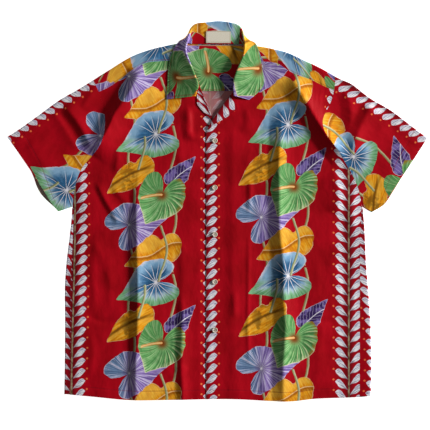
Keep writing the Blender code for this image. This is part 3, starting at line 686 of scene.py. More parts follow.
def crease(points, height, left, right, crown=1.7):
    """A ridge along a line drawn downwards: its height and the width of its left and right flanks.
    A low crown is crisp, and a left flank of a crisp one is straight."""
    line = along(spline(points, 6), 26)
    reach = 2.8 * max(left, right)
    west, east = min(p[0] for p in line) - reach, max(p[0] for p in line) + reach
    south, north = min(p[1] for p in line) - reach, max(p[1] for p in line) + reach

    def rise(x, y):
        if not (west < x < east and south < y < north):
            return 0.0
        best, at, side = 1e9, 0, 1.0
        for i in range(26):
            (ax, ay), (bx, by) = line[i], line[i + 1]
            dx, dy = bx - ax, by - ay
            t = min(max(((x - ax) * dx + (y - ay) * dy) / (dx * dx + dy * dy), 0.0), 1.0)
            ex, ey = x - ax - dx * t, y - ay - dy * t
            far = ex * ex + ey * ey
            if far < best:
                best, at, side = far, (i + t) / 26.0, dx * ey - dy * ex
        ends = math.sin(0.5 * math.pi * min(1.0, 4.5 * at) * min(1.0, 4.5 * (1.0 - at)))
        far = math.sqrt(best) / (right if side > 0 else left)
        if crown < 1.5 and side < 0:
            return height * ends * (max(0.0, 1.0 - far) ** 1.1 + 0.04 * math.exp(-far))
        return height * ends * math.exp(-far ** crown)
    return rise


FOLDS = (
    # from the left armhole
    crease(((-153, 298), (-172, 263), (-187, 236), (-210, 203), (-226, 168), (-241, 141), (-258, 114)),
           12.0, 27.0, 30.0, 1.4),
    crease(((-317, 218), (-295, 193), (-276, 164), (-259, 131)), 5.0, 15.0, 24.0, 1.4),
    crease(((-340, 208), (-322, 181), (-304, 152), (-287, 127)), 1.8, 14.0, 5.5, 1.6),
    crease(((-253, 262), (-266, 237), (-281, 213)), 1.5, 6.0, 13.0, 1.4),
    crease(((-384, 150), (-372, 116), (-352, 76)), 1.4, 16.0, 22.0),
    crease(((-251, 60), (-234, 27), (-216, -4), (-203, -26)), 2.9, 8.0, 12.0, 1.4),
    crease(((-217, 50), (-197, 27), (-177, 7)), 1.7, 9.0, 11.0, 1.4),
    crease(((-203, 132), (-206, 106), (-208, 80)), 1.8, 8.0, 16.0),
    crease(((-262, -55), (-236, -100), (-222, -160)), 1.5, 12.0, 15.0),
    # down the left side of the chest
    crease(((-163, 84), (-166, 20), (-166, -60), (-164, -150), (-165, -240), (-168, -330), (-167, -430)),
           7.0, 16.0, 26.0, 1.2),
    crease(((-74, -40), (-73, -130), (-74, -220)), 1.2, 12.0, 14.0, 1.4),
    crease(((-73, -170), (-72, -250), (-74, -320), (-71, -390), (-72, -480)), 4.2, 14.0, 12.0, 1.3),
    crease(((-74, 150), (-76, 118), (-72, 84)), 1.6, 11.0, 20.0),
    crease(((-58, 222), (-56, 184), (-52, 144)), 4.0, 20.0, 13.0, 1.4),
    crease(((-272, -214), (-243, -227), (-206, -231), (-180, -231)), -1.5, 6.0, 8.0),
    crease(((-253, -60), (-256, -130), (-252, -215)), 1.0, 9.0, 11.0),
    crease(((-225, -80), (-222, -150), (-226, -210)), 0.8, 8.0, 10.0),
    crease(((-262, -246), (-258, -300), (-263, -345)), 0.9, 9.0, 8.0),
    crease(((-110, -335), (-92, -322), (-60, -326)), 1.1, 8.0, 10.0),
    crease(((-118, 40), (-112, -60), (-118, -160)), 0.9, 24.0, 20.0),
    # from the right armhole
    crease(((151, 280), (171, 247), (188, 220), (208, 185), (229, 152), (250, 127), (270, 102)),
           12.5, 31.0, 18.0, 1.35),
    crease(((262, 246), (273, 228), (277, 205), (275, 178), (264, 148)), 3.8, 22.0, 18.0, 1.4),
    crease(((336, 236), (312, 205), (295, 172), (283, 135), (279, 104)), 5.2, 19.0, 25.0, 1.4),
    crease(((392, 140), (376, 104), (352, 60)), 1.2, 14.0, 22.0),
    crease(((238, 84), (248, 54), (250, 27), (244, -6)), 4.0, 25.0, 15.0, 1.5),
    crease(((278, 40), (283, 2), (281, -38)), 2.4, 16.0, 13.0),
    # down the right side of the chest
    crease(((134, 222), (132, 158), (128, 106), (129, 54), (129, 2), (130, -49), (136, -91), (138, -132),
            (138, -184), (142, -235), (140, -277), (137, -329), (138, -440)), 9.0, 25.0, 20.0, 1.2),
    crease(((65, -44), (65, -120), (64, -200), (65, -320)), 1.3, 5.5, 3.0, 1.4),
    crease(((68, 64), (68, 30), (66, -2)), 1.9, 9.0, 5.0, 1.4),
    crease(((36, -165), (35, -190), (36, -222)), 1.3, 7.0, 9.0),
    crease(((12, -245), (34, -246), (60, -244)), -1.3, 6.0, 8.0),
    crease(((204, -224), (232, -229), (264, -226)), -1.4, 7.0, 8.0),
    crease(((205, -130), (212, -230), (206, -340)), 1.3, 24.0, 16.0),
    crease(((96, 140), (88, 60), (94, -30)), 1.3, 26.0, 16.0),
    crease(((104, -280), (98, -330), (104, -430)), 1.6, 12.0, 16.0),
    crease(((250, -60), (244, -120), (250, -190)), 1.0, 14.0, 12.0))


def relief(x, y):
    """How far the top layer of cloth is off its level: a slight loft, its creases, and slight waves."""
    slow = noise.noise((x * 0.016, y * 0.011, 3.0)) + 0.5 * noise.noise((x * 0.04, y * 0.03, 10.0))
    return max(1.3 + sum(fold(x, y) for fold in FOLDS) + 0.85 * slow, 0.0)


def settled(x, y):
    """0 where the top layer stays down: at the shoulder's fold, by the collar and at the underarms."""
    at_fold = smooth(0.0, 22.0, 0.86 * (shoulder_y(x) - y))
    by_collar = 1.0 - (1.0 - smooth(108.0, 134.0, abs(x))) * smooth(195.0, 226.0, y)
    return at_fold * by_collar * smooth(4.0, 34.0, math.hypot(abs(x) - 299.5, y - 5.0))


def seat(piece, node):
    """The piece stands for its CAD node, which is hidden, and rides on the root body."""
    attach(piece, "root")
    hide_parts(node)


TURN = 6                # parts of the curve where cloth turns over
FAR = (90.0, 0.0)       # nowhere near a row of stitching
HEM_ROW = 19.0          # stitching above the raw hem

armholes = {-1: spline(ARMHOLE_L, 4), 1: spline(ARMHOLE_R, 4)}
inner = {-1: shift(armholes[-1], SEAM), 1: shift(armholes[1], -SEAM)}
CORNER_AT = 4 * CORNER
back_flat, back_side, side_rows, arm_rows = 90, 5, 62, 44
back_rows = []


def folded_print(points):
    """Distance along a row of points from its middle, as on flat cloth."""
    run = [0.0]
    for a, b in zip(points, points[1:]):
        run.append(run[-1] + math.dist(a, b))
    return run


def back_lift(x, y, inside):
    """Shallow creases in the back, under those of the fronts."""
    return 0.35 * relief(x, y) * settled(x, y) * smooth(8.0, 60.0, inside) * smooth(62.0, 92.0, abs(x))


for k in range(side_rows + 1):
    y_side = UNDERARM - BODY * (1.0 - k / side_rows)
    hem_drop = (1.0 - k / side_rows) ** 2
    wraps = {}
    for side in (-1, 1):
        fold, seam = fold_x(y_side, side), seam_x(y_side, side) + SEAM * side
        y = y_side + (read(HEM_LINE, fold) - HEM_LEVEL) * hem_drop
        wraps[side] = [(seam + (fold - seam) * t / back_side, y,
                        high(seam + (fold - seam) * t / back_side,
                            min(y, UNDERARM))) for t in range(back_side + 1)]
        wraps[side] += reversed(turn_over((fold, y), (side, 0.0), low(fold, y), wraps[side][-1][2], TURN))
    left, right = fold_x(y_side, -1), fold_x(y_side, 1)
    flat = []
    for i in range(back_flat + 1):
        x = left + (right - left) * i / back_flat
        y = y_side + (read(HEM_LINE, x) - HEM_LEVEL) * hem_drop
        flat.append((x, y, low(x, y_side) + back_lift(x, y, min(x - left, right - x))))
    back_rows.append(wraps[-1] + flat + wraps[1][::-1])
lead = back_side + TURN
arm = {side: along(inner[side][CORNER_AT:][::-1], arm_rows) for side in (-1, 1)}
for k in range(arm_rows + 1):
    (xl, yl), (xr, yr) = arm[-1][k], arm[1][k]
    if k == arm_rows:
        yl, yr = yl - SEAM, yr - SEAM
    row = []
    full = back_flat + 2 * lead
    for i in range(full + 1):
        share = 0.002 + 0.996 * (i - lead) / back_flat
        if i < lead:
            share = 0.002 * i / lead
        elif i > full - lead:
            share = 1.0 - 0.002 * (full - i) / lead
        x, y = xl + (xr - xl) * share, yl + (yr - yl) * share
        row.append((x, y, low(0.0, 0.0) + back_lift(x, y, (xr - xl) * min(share, 1.0 - share))
                    * smooth(arm_rows, arm_rows - 8, k)))
    back_rows.append(row)


def back_print_at(i, j):
    row = back_rows[j]
    x, y, _ = row[i]
    if j <= side_rows:
        if i < back_side:
            x = 2.0 * fold_x(y, -1) - x
        elif i > len(row) - 1 - back_side:
            x = 2.0 * fold_x(y, 1) - x
    return (-(x + 324.0) * 0.9637 - 2.0, y)


def back_sewing_at(i, j):
    x, y, _ = back_rows[j][i]
    return (y - read(HEM_LINE, x) - HEM_ROW, x) if j <= side_rows else FAR


back = cloth("back_cloth", back_rows, back_print_at, back_sewing_at, (WRONG_SIDE, RIGHT_SIDE))
seat(back, "back")

# ---- back yoke
# A double strip of cloth over both shoulders, cut with the print lying on its side. The outer
# one comes over the fold of the shoulder to the front seams.
# front shoulder seam from the armhole to the neck
FRONT_SEAM_L = ((-245, 247), (-222, 258), (-198, 275), (-174, 293), (-148, 306.5),
                (-122, 310), (-96, 311), (-70, 312))
FRONT_SEAM_R = ((241.5, 251), (222, 258), (198, 270), (168, 281), (148, 290.5),
                (124, 305.5), (96, 309.5), (66, 309))
front_seam = {-1: spline(FRONT_SEAM_L, 6), 1: spline(FRONT_SEAM_R, 6)}
BELOW, OVER = 22, 10
THIN = 0.3              # closest spacing of points up the neck's edge
neck_columns = [(x, None, share) for x, share in (
    (-69.0, 0.80), (-68.0, 0.55), (-67.0, 0.32), (-66.0, 0.15), (-64.0, 0.03), (-62.0, 0.0), (-52.0, 0.0),
    (-39.0, 0.0), (-26.0, 0.0), (-13.0, 0.0), (0.0, 0.0), (12.0, 0.0), (24.0, 0.0), (36.0, 0.0), (48.0, 0.0),
    (58.0, 0.0), (60.0, 0.03), (62.0, 0.15), (63.0, 0.32), (64.0, 0.55), (65.0, 0.80))]
columns = [(x, y + SEAM, 1.0) for x, y in front_seam[-1]] + neck_columns
columns += [(x, y + SEAM, 1.0) for x, y in reversed(front_seam[1])]
corners = {side: inner[side][CORNER_AT] for side in (-1, 1)}
total = BELOW + TURN + OVER
yoke_columns, yoke_run = [], []
for n, (x, seam_y, share) in enumerate(columns):
    (west_x, west_y), (east_x, east_y) = corners[-1], corners[1]
    start = west_y + (east_y - west_y) * (x - west_x) / (east_x - west_x) + SEAM
    fold = shoulder_y(x)
    base, top = low(x, fold), high(x, fold)
    if n in (0, len(columns) - 1):
        ring = inner[-1 if n == 0 else 1][:CORNER_AT + 1]
        up = along(ring[::-1], BELOW)
        up[0] = (up[0][0], up[0][1] + SEAM)
        line = [(p[0], p[1], low(*p)) for p in up]
        line += turn_over(ring[0], (0.0, 1.0), low(*ring[0]), high(*ring[0]), TURN)
        down = along(ring, OVER)
        down[-1] = (down[-1][0], down[-1][1] + SEAM)
        line += [(p[0], p[1], high(*p) + relief(*p) * settled(*p)) for p in down]
    else:
        radius = 0.5 * (top - base)
        arc = math.pi * radius
        if seam_y is None:
            end = NECK_BACK if share == 0.0 else fold + arc * min(share * 2.0, 1.0) + 30.0 * share
        else:
            end = fold + arc + (fold - seam_y)
        strip = max(end - fold - arc, 4.0)
        ideal = [start + (fold - start) * k / BELOW for k in range(BELOW + 1)]
        ideal += [fold + arc * k / TURN for k in range(1, TURN + 1)]
        ideal += [fold + arc + strip * k / OVER for k in range(1, OVER + 1)]
        line = []
        for k in range(total + 1):
            s = min(ideal[k], end - (total - k) * THIN)
            if s <= fold:
                line.append((x, s, low(x, s)))
            elif s < fold + arc:
                angle = (s - fold) / radius
                line.append((x, fold + radius * math.sin(angle), base + radius * (1.0 - math.cos(angle))))
            else:
                y = fold - (s - fold - arc)
                line.append((x, y, high(x, y) + relief(x, y) * settled(x, y)))
    yoke_columns.append(line)
    yoke_run.append([start + r for r in folded_print(line)])
yoke_rows = [[column[k] for column in yoke_columns] for k in range(total + 1)]


def yoke_print_at(i, j):
    x = yoke_columns[i][j][0]
    return (508.0 - yoke_run[i][j] - 25.0 * smooth(-100.0, 150.0, x) - 34.0 * smooth(-175.0, -215.0, x),
            -(x + 118.5) * 1.143 - 26.0 * smooth(-130.0, -200.0, x))


def yoke_sewing_at(i, j):
    x, y, _ = yoke_columns[i][j]
    left = min(yoke_run[i][-1] - yoke_run[i][j], yoke_run[i][j] - yoke_run[i][0])
    return (left - 2.5, x) if abs(x) > 66.0 else FAR


yoke = cloth("yoke_cloth", yoke_rows, yoke_print_at, yoke_sewing_at, (WRONG_SIDE, RIGHT_SIDE))
seat(yoke, "back_yoke")

# ---- yoke lining
# The inner one of the yoke's two layers, printed side up, which shows inside the neck.
inside = [n for n, column in enumerate(columns) if abs(column[0]) < 123.0]
lining_columns = []
for n in inside:
    line = []
    for k in range(BELOW + 1):
        x, y, z = yoke_columns[n][k]
        line.append([x, y, z + STEP])
    top_y = min(NECK_BACK, shoulder_y(line[-1][0]) - 4.0)
    start = line[0][1]
    for k, point in enumerate(line):
        point[1] = start + (top_y - start) * k / BELOW
        point[2] = low(point[0], point[1]) + STEP
    lining_columns.append(line)
lining_rows = [[column[k] for column in lining_columns] for k in range(BELOW + 1)]


def lining_print_at(i, j):
    x, y, _ = lining_rows[j][i]
    return (187.0 - (y - 288.3), -128.0 + (x + 19.2))


def lining_sewing_at(i, j):
    x, y, _ = lining_rows[j][i]
    return (y - lining_rows[0][i][1] - 2.5, x)


lining = cloth("lining_cloth", lining_rows, lining_print_at, lining_sewing_at, (RIGHT_SIDE, WRONG_SIDE))
seat(lining, "yoke_lining")

# ---- fronts
# The right front lies under the left one at the buttons. Each is one piece from the hem to the
# yoke's seam, with drag folds at the armholes and long soft creases from having been folded.
# inner edge of each front from hem to neck
UNDER_EDGE, OVER_EDGE = 14.0, -23.0
EDGE_L = ((UNDER_EDGE, -388.5), (UNDER_EDGE, -200), (UNDER_EDGE, 0), (UNDER_EDGE, 130), (8, 152), (-9, 190),
          (-24, 228), (-36, 258), (-42, 275), (-51, 296), (-62, 308), (-70, 312))
EDGE_R = ((OVER_EDGE, -388.5), (OVER_EDGE, -200), (OVER_EDGE, 0), (OVER_EDGE, 150), (-21, 166), (-12, 184),
          (12, 218), (31, 245), (34.5, 260), (39, 278), (47, 295), (56, 304), (66, 309))


def calm(x, y, side, edge_x):
    """0 where a front must stay flat: at its seams, under the collar and at the buttons."""
    free = smooth(0.0, 45.0, y)
    at_seam = free + (1.0 - free) * smooth(0.0, 26.0, abs(x - seam_x(min(y, 3.0), side)))
    at_button = smooth(18.0, 40.0, abs(x - edge_x))
    at_facing = 1.0 - (1.0 - smooth(46.0, 64.0, abs(x))) * smooth(148.0, 168.0, y)
    return at_seam * at_button * at_facing * settled(x, y)


across_parts, up_parts = 108, 190
for side, name, node, edge, level in ((-1, "right_front_cloth", "right_front", EDGE_L, high),
                                     (1, "left_front_cloth", "left_front", EDGE_R, lapped)):
    hole = list(inner[side][CORNER_AT:])
    hole[-1] = (hole[-1][0] - side * 1.3, hole[-1][1])
    seam_edge = []
    for k in range(61):
        y = UNDERARM - BODY * (1.0 - k / 60)
        drop = (read(HEM_LINE, seam_x(HEM_LEVEL, side)) - HEM_LEVEL) * (1.0 - k / 60) ** 2
        seam_edge.append((seam_x(y, side) - side * SEAM, y + drop))
    outer = along(seam_edge + hole[::-1], up_parts)
    inner_edge = along(spline(edge, 8), up_parts)
    top_edge = along([(x, y - SEAM) for x, y in front_seam[side]], across_parts)
    top_edge[0] = outer[-1] = (outer[-1][0], outer[-1][1] - SEAM)
    inner_edge[-1] = top_edge[-1]
    hem_x = [outer[0][0] + (inner_edge[0][0] - outer[0][0])
        * k / across_parts for k in range(across_parts + 1)]
    low_edge = [(x, read(HEM_LINE, x)) for x in hem_x]
    inner_edge[0], low_edge[0] = low_edge[-1], outer[0]
    plan = patch(outer, inner_edge, low_edge, top_edge)
    if side > 0:
        plan = [row[::-1] for row in plan]
    edge_x = 0.0 if side < 0 else -5.0
    rows = []
    for j, line in enumerate(plan):
        row = []
        for i, (x, y) in enumerate(line):
            still = calm(x, y, side, edge_x)
            row.append((x, y, level(x, y) + relief(x, y) * still))
        rows.append(row)

    def front_print_at(i, j, rows=rows, side=side):
        x, y, _ = rows[j][i]
        if side < 0:
            slant = 7.0 * smooth(-380.0, -20.0, y) * smooth(-200.0, -300.0, x)
            return (x + 301.3 - slant, (y - 159.9) * 310.0 / 306.8)
        pull = 22.0 * math.exp(-((y - 212.0) / 62.0) ** 2) * smooth(180.0, 240.0, x)
        return (x + 28.0 + pull, (y - 179.0) * 310.0 / 312.6)

    def front_sewing_at(i, j, rows=rows, side=side):
        x, y, _ = rows[j][i]
        hem = y - read(HEM_LINE, x) - HEM_ROW
        return (hem, x) if hem < 60.0 else FAR

    piece = cloth(name, rows, front_print_at, front_sewing_at, (RIGHT_SIDE, WRONG_SIDE))
    seat(piece, node)

# ---- sleeves
# Short set-in sleeves, each one piece folded flat along its top, with its seam under the arm and
# a turned hem at the cuff. The print runs from the shoulder to the cuff.
CUFF_L = ((-433.4, 152.5), (-408, 116), (-384, 81), (-361, 46), (-345, 20), (-330, 1))
CUFF_R = ((433.4, 150), (414, 119), (388, 80), (363, 43), (344, 14), (321, -1))
face_parts, sleeve_parts = 70, 56
CUFF_ROW = 22.0         # stitching of the cuff's turned hem
for side, name, node, cuff, slip in ((-1, "right_sleeve_cloth", "right_sleeve", CUFF_L, 9.0),
                                    (1, "left_sleeve_cloth", "left_sleeve", CUFF_R, 2.0)):
    hole = shift(armholes[side], -SEAM if side < 0 else SEAM)
    hole[-1] = (hole[-1][0], hole[-1][1] + 1.5)
    hole = along(hole, face_parts)
    cuff_line = along(spline(cuff, 8), face_parts)
    upper_line = sorted((p for p in SHOULDERS[side] if abs(p[0]) >= abs(hole[0][0])), key=lambda p: abs(p[0]))
    upper = along([hole[0]] + upper_line[1:], sleeve_parts)
    upper[-1] = cuff_line[0]
    (arm_x, arm_y), (end_x, end_y) = hole[-1], cuff_line[-1]
    lower = [(arm_x + (end_x - arm_x) * k / sleeve_parts, arm_y + (end_y - arm_y) * k / sleeve_parts)
             for k in range(sleeve_parts + 1)]
    plan = patch(hole, cuff_line, upper, lower)
    rings, prints, sewings = [], [], []
    for k in range(sleeve_parts + 1):
        face = [row[k] for row in plan]
        part = k / sleeve_parts

        def height(point, face=face, part=part):
            at_top = math.exp(-(math.dist(point, face[0]) / 20.0) ** 2)
            at_foot = math.exp(-(math.dist(point, face[-1]) / 20.0) ** 2) * smooth(0.0, 0.6, part)
            return 0.5 * WALL + STEP + LOFT * max(at_top, at_foot)

        def out_of(a, b):
            size = math.dist(a, b)
            return ((a[0] - b[0]) / size, (a[1] - b[1]) / size)

        def cloth_at(point):
            if side < 0:
                return (174.0 + (point[0] + 311.0) * 0.55 - (point[1] - 44.0) * 0.835,
                        (point[0] + 311.0) * 0.835 + (point[1] - 44.0) * 0.55)
            return (174.0 + (point[0] - 281.0) * 0.537 + (point[1] - 112.3) * 0.843,
                    -(point[0] - 281.0) * 0.843 + (point[1] - 112.3) * 0.537)

        fold_at, foot_at = cloth_at(face[0]), cloth_at(face[-1])
        ring, dyed = [], []
        rise = height(face[-1])
        top_out = out_of(face[0], face[1])
        bend = smooth(0.0, 0.4, part)
        top_out = (side * 0.35 * (1 - bend) + top_out[0] * bend, 0.937 * (1 - bend) + top_out[1] * bend)
        for i in range(face_parts, -1, -1):
            p = face[i]
            still = settled(*p) * smooth(0.0, 22.0, math.dist(p, face[-1]))
            ring.append((p[0], p[1], height(p) + relief(p[0], p[1]) * still))
            dyed.append(cloth_at(p))
        turned = turn_over(face[0], top_out, 0.5 * WALL, height(face[0]), TURN)[::-1]
        ring += turned
        dyed += [fold_at] * len(turned)
        for i, p in enumerate(face):
            reach = slip * math.sin(math.pi * smooth(0.42, 1.0, i / face_parts)) * part ** 3
            ring.append((p[0] + side * 0.85 * reach, p[1] - 0.5 * reach, 0.5 * WALL))
            here = cloth_at(p)
            dyed.append((2.0 * fold_at[0] - here[0], here[1]))
        turned = turn_over(face[-1], out_of(face[-1], face[-2]), 0.5 * WALL, rise, TURN)
        ring += turned + [ring[0]]
        under = dyed[-1]
        dyed += [under] * (len(turned) + 1)
        from_cuff = math.dist(plan[face_parts // 2][k], plan[face_parts // 2][-1])
        stitched = [(from_cuff - CUFF_ROW, n * 4.6) for n in range(len(ring))]
        rings.append(ring)
        prints.append(dyed)
        sewings.append(stitched)
    if side > 0:
        rings, prints, sewings = [[row[::-1] for row in grid] for grid in (rings, prints, sewings)]
    piece = cloth(name, rings, lambda i, j, p=prints: p[j][i], lambda i, j, s=sewings: s[j][i],
                  (RIGHT_SIDE, WRONG_SIDE), closed=True)
    seat(piece, node)

# ---- collar
# A one-piece camp collar: it rises from the neck seam, turns over its roll and falls outside the
# neck, with two short points in front. Print runs along it, so it is upside down on one point.
# one row a section, from the left point round the back to the right one: neck seam n, roll r and
# outer edge e, each x y z; turn is the roll's radius, and lean how far the roll has turned from
# lying forward (0) through upright (1) to lying back (2)
COLLAR = (
    # nx     ny     nz   rx     ry     rz    ex      ey     ez   turn  lean
    (-55.0, 241.0, 5.9, -45.0, 237.5, 13.0, -104.5, 231.5, 6.0, 1.2, 0.0),
    (-50.5, 262.0, 5.9, -39.0, 259.0, 15.5, -103.0, 259.0, 6.0, 1.2, 0.0),
    (-56.0, 280.0, 5.9, -44.0, 277.0, 17.0, -102.0, 286.0, 6.0, 1.3, 0.0),
    (-64.0, 299.0, 6.0, -52.0, 297.0, 17.0, -99.0, 308.0, 6.1, 1.4, 0.1),
    (-71.0, 317.0, 6.0, -60.0, 317.0, 17.0, -93.0, 328.0, 6.3, 1.6, 0.25),
    (-72.0, 333.0, 6.4, -64.5, 335.0, 14.0, -86.0, 342.0, 6.6, 1.9, 0.6),
    (-65.5, 345.5, 6.0, -62.0, 353.0, 12.5, -78.0, 352.5, 4.6, 2.2, 1.0),
    (-59.5, 347.5, 4.4, -58.0, 369.0, 7.6, -69.0, 353.5, 1.2, 2.3, 1.35),
    (-53.0, 346.5, 3.4, -53.5, 380.0, 4.8, -59.0, 341.0, 0.5, 2.3, 1.75),
    (-42.0, 346.0, 2.9, -43.0, 388.0, 3.2, -46.0, 325.0, 0.5, 2.3, 1.95),
    (-22.0, 345.8, 2.8, -22.0, 390.5, 2.9, -23.0, 320.0, 0.5, 2.35, 2.0),
    (2.0, 345.6, 2.8, 2.0, 392.8, 2.9, 2.0, 319.0, 0.5, 2.35, 2.0),
    (22.0, 345.6, 2.8, 24.0, 390.5, 2.9, 24.0, 320.0, 0.5, 2.35, 2.0),
    (40.0, 345.8, 2.9, 41.0, 386.5, 3.2, 45.0, 325.0, 0.5, 2.3, 1.95),
    (50.0, 346.0, 3.4, 50.5, 377.0, 4.8, 58.0, 339.0, 0.5, 2.3, 1.75),
    (56.5, 346.0, 4.4, 54.5, 364.0, 7.6, 69.0, 350.5, 1.2, 2.3, 1.35),
    (62.5, 341.5, 6.0, 57.0, 347.0, 12.5, 79.0, 347.5, 4.6, 2.2, 1.0),
    (66.0, 328.0, 6.4, 55.0, 331.0, 14.0, 85.0, 333.0, 6.6, 1.9, 0.6),
    (61.5, 311.5, 6.0, 50.5, 314.0, 14.5, 89.5, 314.0, 6.3, 1.6, 0.25),
    (54.5, 295.0, 6.0, 43.0, 297.0, 14.5, 93.5, 291.0, 6.1, 1.4, 0.1),
    (47.5, 277.0, 5.9, 36.0, 278.0, 13.5, 96.0, 262.0, 6.0, 1.3, 0.0),
    (44.0, 259.0, 5.9, 32.5, 258.0, 12.0, 82.0, 243.5, 6.0, 1.2, 0.0),
    (45.5, 243.5, 5.9, 34.5, 238.0, 10.5, 66.0, 230.5, 6.0, 1.2, 0.0),
)
collar_parts = 140


def collar_section(row):
    nx, ny, nz, rx, ry, rz, ex, ey, ez, turn, lean = row
    if lean < 0.5:
        nz = max(nz, high(nx, ny) + STEP + 0.1)
        ez = high(ex, ey) + STEP + 0.2
    size = max(math.hypot(ex - rx, ey - ry), 1e-6)
    if lean <= 1.0:
        flat = ((rx - ex) / size, (ry - ey) / size)
        angle = 0.5 * math.pi * lean
        tip = (flat[0] * math.cos(angle), flat[1] * math.cos(angle), math.sin(angle))
        over = (-flat[0] * math.sin(angle), -flat[1] * math.sin(angle), math.cos(angle))
    else:
        away = math.hypot(rx, ry - 340.0)
        back_way = (0.35 * rx / away, (ry - 340.0) / away)
        size_b = math.hypot(back_way[0], back_way[1])
        back_way = (back_way[0] / size_b, back_way[1] / size_b)
        angle = 0.5 * math.pi * (lean - 1.0)
        tip = (back_way[0] * math.sin(angle), back_way[1] * math.sin(angle), math.cos(angle))
        share = math.cos(angle)
        over = ((1.0 if rx > 0 else -1.0) * share * 0.92, share * 0.38, -math.sin(angle))
    dot = sum(a * b for a, b in zip(tip, over))
    over = [b - dot * a for a, b in zip(tip, over)]
    norm = math.sqrt(sum(c * c for c in over))
    over = [c / norm for c in over]
    root = [r - turn * t for r, t in zip((rx, ry, rz), tip)]
    first = [c - turn * o for c, o in zip(root, over)]
    line = [tuple(a + (b - a) * k / 3 for a, b in zip((nx, ny, nz), first)) for k in range(3)]
    for k in range(9):
        angle = math.pi * (k / 8 - 0.5)
        line.append(tuple(c + turn * (math.cos(angle) * t + math.sin(angle) * o)
                          for c, t, o in zip(root, tip, over)))
    final = line[-1]
    for k in range(1, 5):
        share = k / 4
        droop = math.sin(0.5 * math.pi * share) if lean > 0.5 else share
        line.append((final[0] + (ex - final[0]) * share, final[1] + (ey - final[1]) * share,
                     final[2] + (ez - final[2]) * droop))
    line = [line[0]] + spline(line[:3], 3)[1:-1] + line[2:11] + spline(line[11:], 4)
    return [(x, y, max(z, 0.5 * WALL + 0.02)) for x, y, z in line]


ROLL_AT = 11            # column of the roll's crown in a section
collar_line = along(spline(COLLAR, 6), collar_parts)
collar_rows = [collar_section(s) for s in collar_line]
roll_run = folded_print([s[3:5] for s in collar_line])
left_mark = min((abs(s[4] - 269.6), n) for n, s in enumerate(collar_line) if s[3] < 0)[1]
right_mark = min((abs(s[4] - 300.7), n) for n, s in enumerate(collar_line) if s[3] > 0)[1]
collar_runs = [folded_print(row) for row in collar_rows]


def collar_print_at(i, j):
    spot = (roll_run[j] - roll_run[left_mark]) / (roll_run[right_mark] - roll_run[left_mark])
    return (143.4 + collar_runs[j][i] - collar_runs[j][ROLL_AT], -126.0 - spot * TALL)


def collar_sewing_at(i, j):
    ends = min(roll_run[j] - roll_run[0], roll_run[-1] - roll_run[j])
    return (min(collar_runs[j][-1] - collar_runs[j][i], ends) - 4.0, roll_run[j])


collar = cloth("collar_cloth", collar_rows, collar_print_at, collar_sewing_at, (RIGHT_SIDE, RIGHT_SIDE))
seat(collar, "collar")

# ---- label
# A blank woven label in cream satin, sewn inside the collar at the back of the neck.
LABEL = (-23.0, 28.0)
LABEL_SPAN = (0.05, 0.62)
label_points = []
for j in range(13):
    share = LABEL_SPAN[0] + (LABEL_SPAN[1] - LABEL_SPAN[0]) * j / 12
    row = []
    for i in range(25):
        x = LABEL[0] + (LABEL[1] - LABEL[0]) * i / 24
        a = min(collar_rows, key=lambda section: abs(section[1][0] - x) + 90.0 * (section[1][1] < 340.0))
        point = [a[0][c] + (a[7][c] - a[0][c]) * share for c in range(3)]
        row.append((x, point[1], point[2] + STEP + 0.1))
    label_points.append(row)
satin = Recipe("label_satin")
label_across, label_up = satin.chart("print")
weave = satin.mottle(label_across * 0.6, label_up * 3.0, 1.0, 2.0)
rim = satin.ebb(abs(abs(label_across - 2.5) - 24.0), 0.4, 0.9) + (
    satin.ebb(abs(abs(label_up) - 11.0), 0.4, 0.9))
cream = satin.lay("FFF8E8", "F0E4C8", satin.fade(weave, 0.4, 0.65))
cream = satin.lay(cream, "A8946C", rim.math("MINIMUM", 1.0) * 0.55)
satin.give("Base Color", cream)
satin.give("Roughness", 0.42)
satin.give("Sheen Weight", 0.2)
label_bump = satin.node("ShaderNodeBump", {}, 0.5, 0.0004, 1.0, weave)
satin.give("Normal", label_bump)
label_middle = label_points[6][12][1]
label = cloth("label_cloth", label_points,
              lambda i, j: (label_points[j][i][0], label_points[j][i][1] - label_middle),
              lambda i, j: FAR, (satin.material, satin.material))
seat(label, "label")

# ---- turned-out facings
# Below the collar the front edges turn outwards, and show a strip of their facings with the
# garland on it. Each is drawn from the break of the lapel up to its top.
# (inner x, inner y, outer x, outer y)
LAPEL_L = ((-11.5, 193.0, -14.5, 191.5), (-15.0, 202.0, -29.0, 206.0), (-18.5, 211.0, -40.5, 220.0),
           (-23.0, 222.5, -41.5, 231.0), (-28.0, 235.0, -41.5, 241.5), (-32.5, 246.0, -39.5, 249.0),
           (-35.5, 253.5, -37.8, 255.0))
LAPEL_R = ((-19.5, 171.0, -17.5, 168.5), (-11.0, 187.0, -3.0, 181.5), (-1.0, 201.0, 14.0, 191.0),
           (10.0, 216.5, 31.0, 203.0), (20.0, 230.5, 42.0, 213.5), (27.0, 240.0, 33.5, 231.0))
for name, node, table, level, way in (("right_facing_cloth", "right_facing", LAPEL_L, high, 1),
                                      ("left_facing_cloth", "left_facing", LAPEL_R, lapped, -1)):
    rows = []
    for ix, iy, ox, oy in spline(table, 5):
        row = []
        for i in range(13):
            x, y = ix + (ox - ix) * i / 12, iy + (oy - iy) * i / 12
            row.append((x, y, level(x, y) + STEP + 0.12))
        rows.append(row)
    run = folded_print([row[0] for row in rows])

    def facing_print_at(i, j, rows=rows, run=run, way=way):
        return (3.0 + math.dist(rows[j][0], rows[j][i]), way * run[j])

    def facing_sewing_at(i, j, rows=rows, run=run):
        return (math.dist(rows[j][-1], rows[j][i]) - 2.5, run[j])

    piece = cloth(name, rows, facing_print_at, facing_sewing_at, (RIGHT_SIDE, RIGHT_SIDE))
    seat(piece, node)

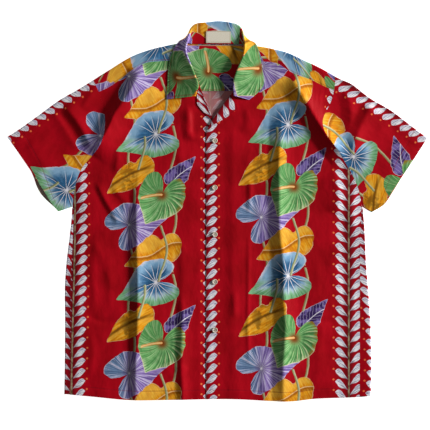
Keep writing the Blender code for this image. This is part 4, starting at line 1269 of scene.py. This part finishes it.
# ---- buttons
# Five dished four-hole buttons in pearly cream shell, sewn down the front with cream thread.
CENTRE = -5.0
BUTTON_Y = (146.0, 49.0, -48.0, -146.0, -246.0)
HOLE_AT = 1.1
pearl = Recipe("pearly_shell")
place = pearl.node("ShaderNodeTexCoord", {}, out=3)
spots = pearl.node("ShaderNodeTexNoise", {}, place, None, 260.0, 3.0)
bands = pearl.node("ShaderNodeTexNoise", {}, place, None, 90.0, 2.0)
shell = pearl.lay("EFE6D2", "CDBFA2", pearl.fade(bands, 0.38, 0.66))
shell = pearl.lay(shell, "E6D3DA", pearl.fade(spots, 0.50, 0.70) * 0.6)
pearl.give("Base Color", shell)
polish = pearl.node("ShaderNodeMapRange", {}, spots, 0.3, 0.7, 0.18, 0.32)
pearl.give("Roughness", polish)
pearl.give("Coat Weight", 0.4)
pearl.give("Coat Roughness", 0.1)

twist = Recipe("cream_thread")
strand = twist.node("ShaderNodeTexNoise", {}, twist.node("ShaderNodeTexCoord", {}, out=3), None, 2600.0, 2.0)
twist.give("Base Color", twist.lay("D9CDB4", "A8976F", strand))
twist.give("Roughness", 0.8)

for n, y in enumerate(BUTTON_Y):
    node = "button_" + str(n + 1)
    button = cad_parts[node]
    for held in button.material_slots:
        held.material = pearl.material
    base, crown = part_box(node)
    sewing = bmesh.new()
    for side in (-1, 1):
        path = bmesh.new()
        bmesh.ops.create_cone(path, cap_ends=True, segments=8, radius1=0.42 * MM, radius2=0.42 * MM,
            depth=2.9 * MM)
        upright = [e for e in path.edges if abs(e.verts[0].co.z - e.verts[1].co.z) > MM]
        bmesh.ops.subdivide_edges(path, edges=upright, cuts=6)
        for vert in path.verts:
            x, h = vert.co.x, vert.co.z
            sink = (abs(h) / (1.45 * MM)) ** 4 * 0.9 * MM
            vert.co = (CENTRE * MM + side * HOLE_AT * MM + x, y * MM + h,
                       crown[2] - 0.55 * MM + vert.co.y - sink)
        bmesh.ops.recalc_face_normals(path, faces=path.faces[:])
        bar = bpy.data.meshes.new("bar")
        path.to_mesh(bar)
        path.free()
        sewing.from_mesh(bar)
        bpy.data.meshes.remove(bar)
    thread_mesh = bpy.data.meshes.new("button_thread_" + str(n + 1))
    sewing.to_mesh(thread_mesh)
    sewing.free()
    for face in thread_mesh.polygons:
        face.use_smooth = True
    thread_mesh.materials.append(twist.material)
    thread = bpy.data.objects.new(thread_mesh.name, thread_mesh)
    scene.collection.objects.link(thread)
    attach(thread, "root")
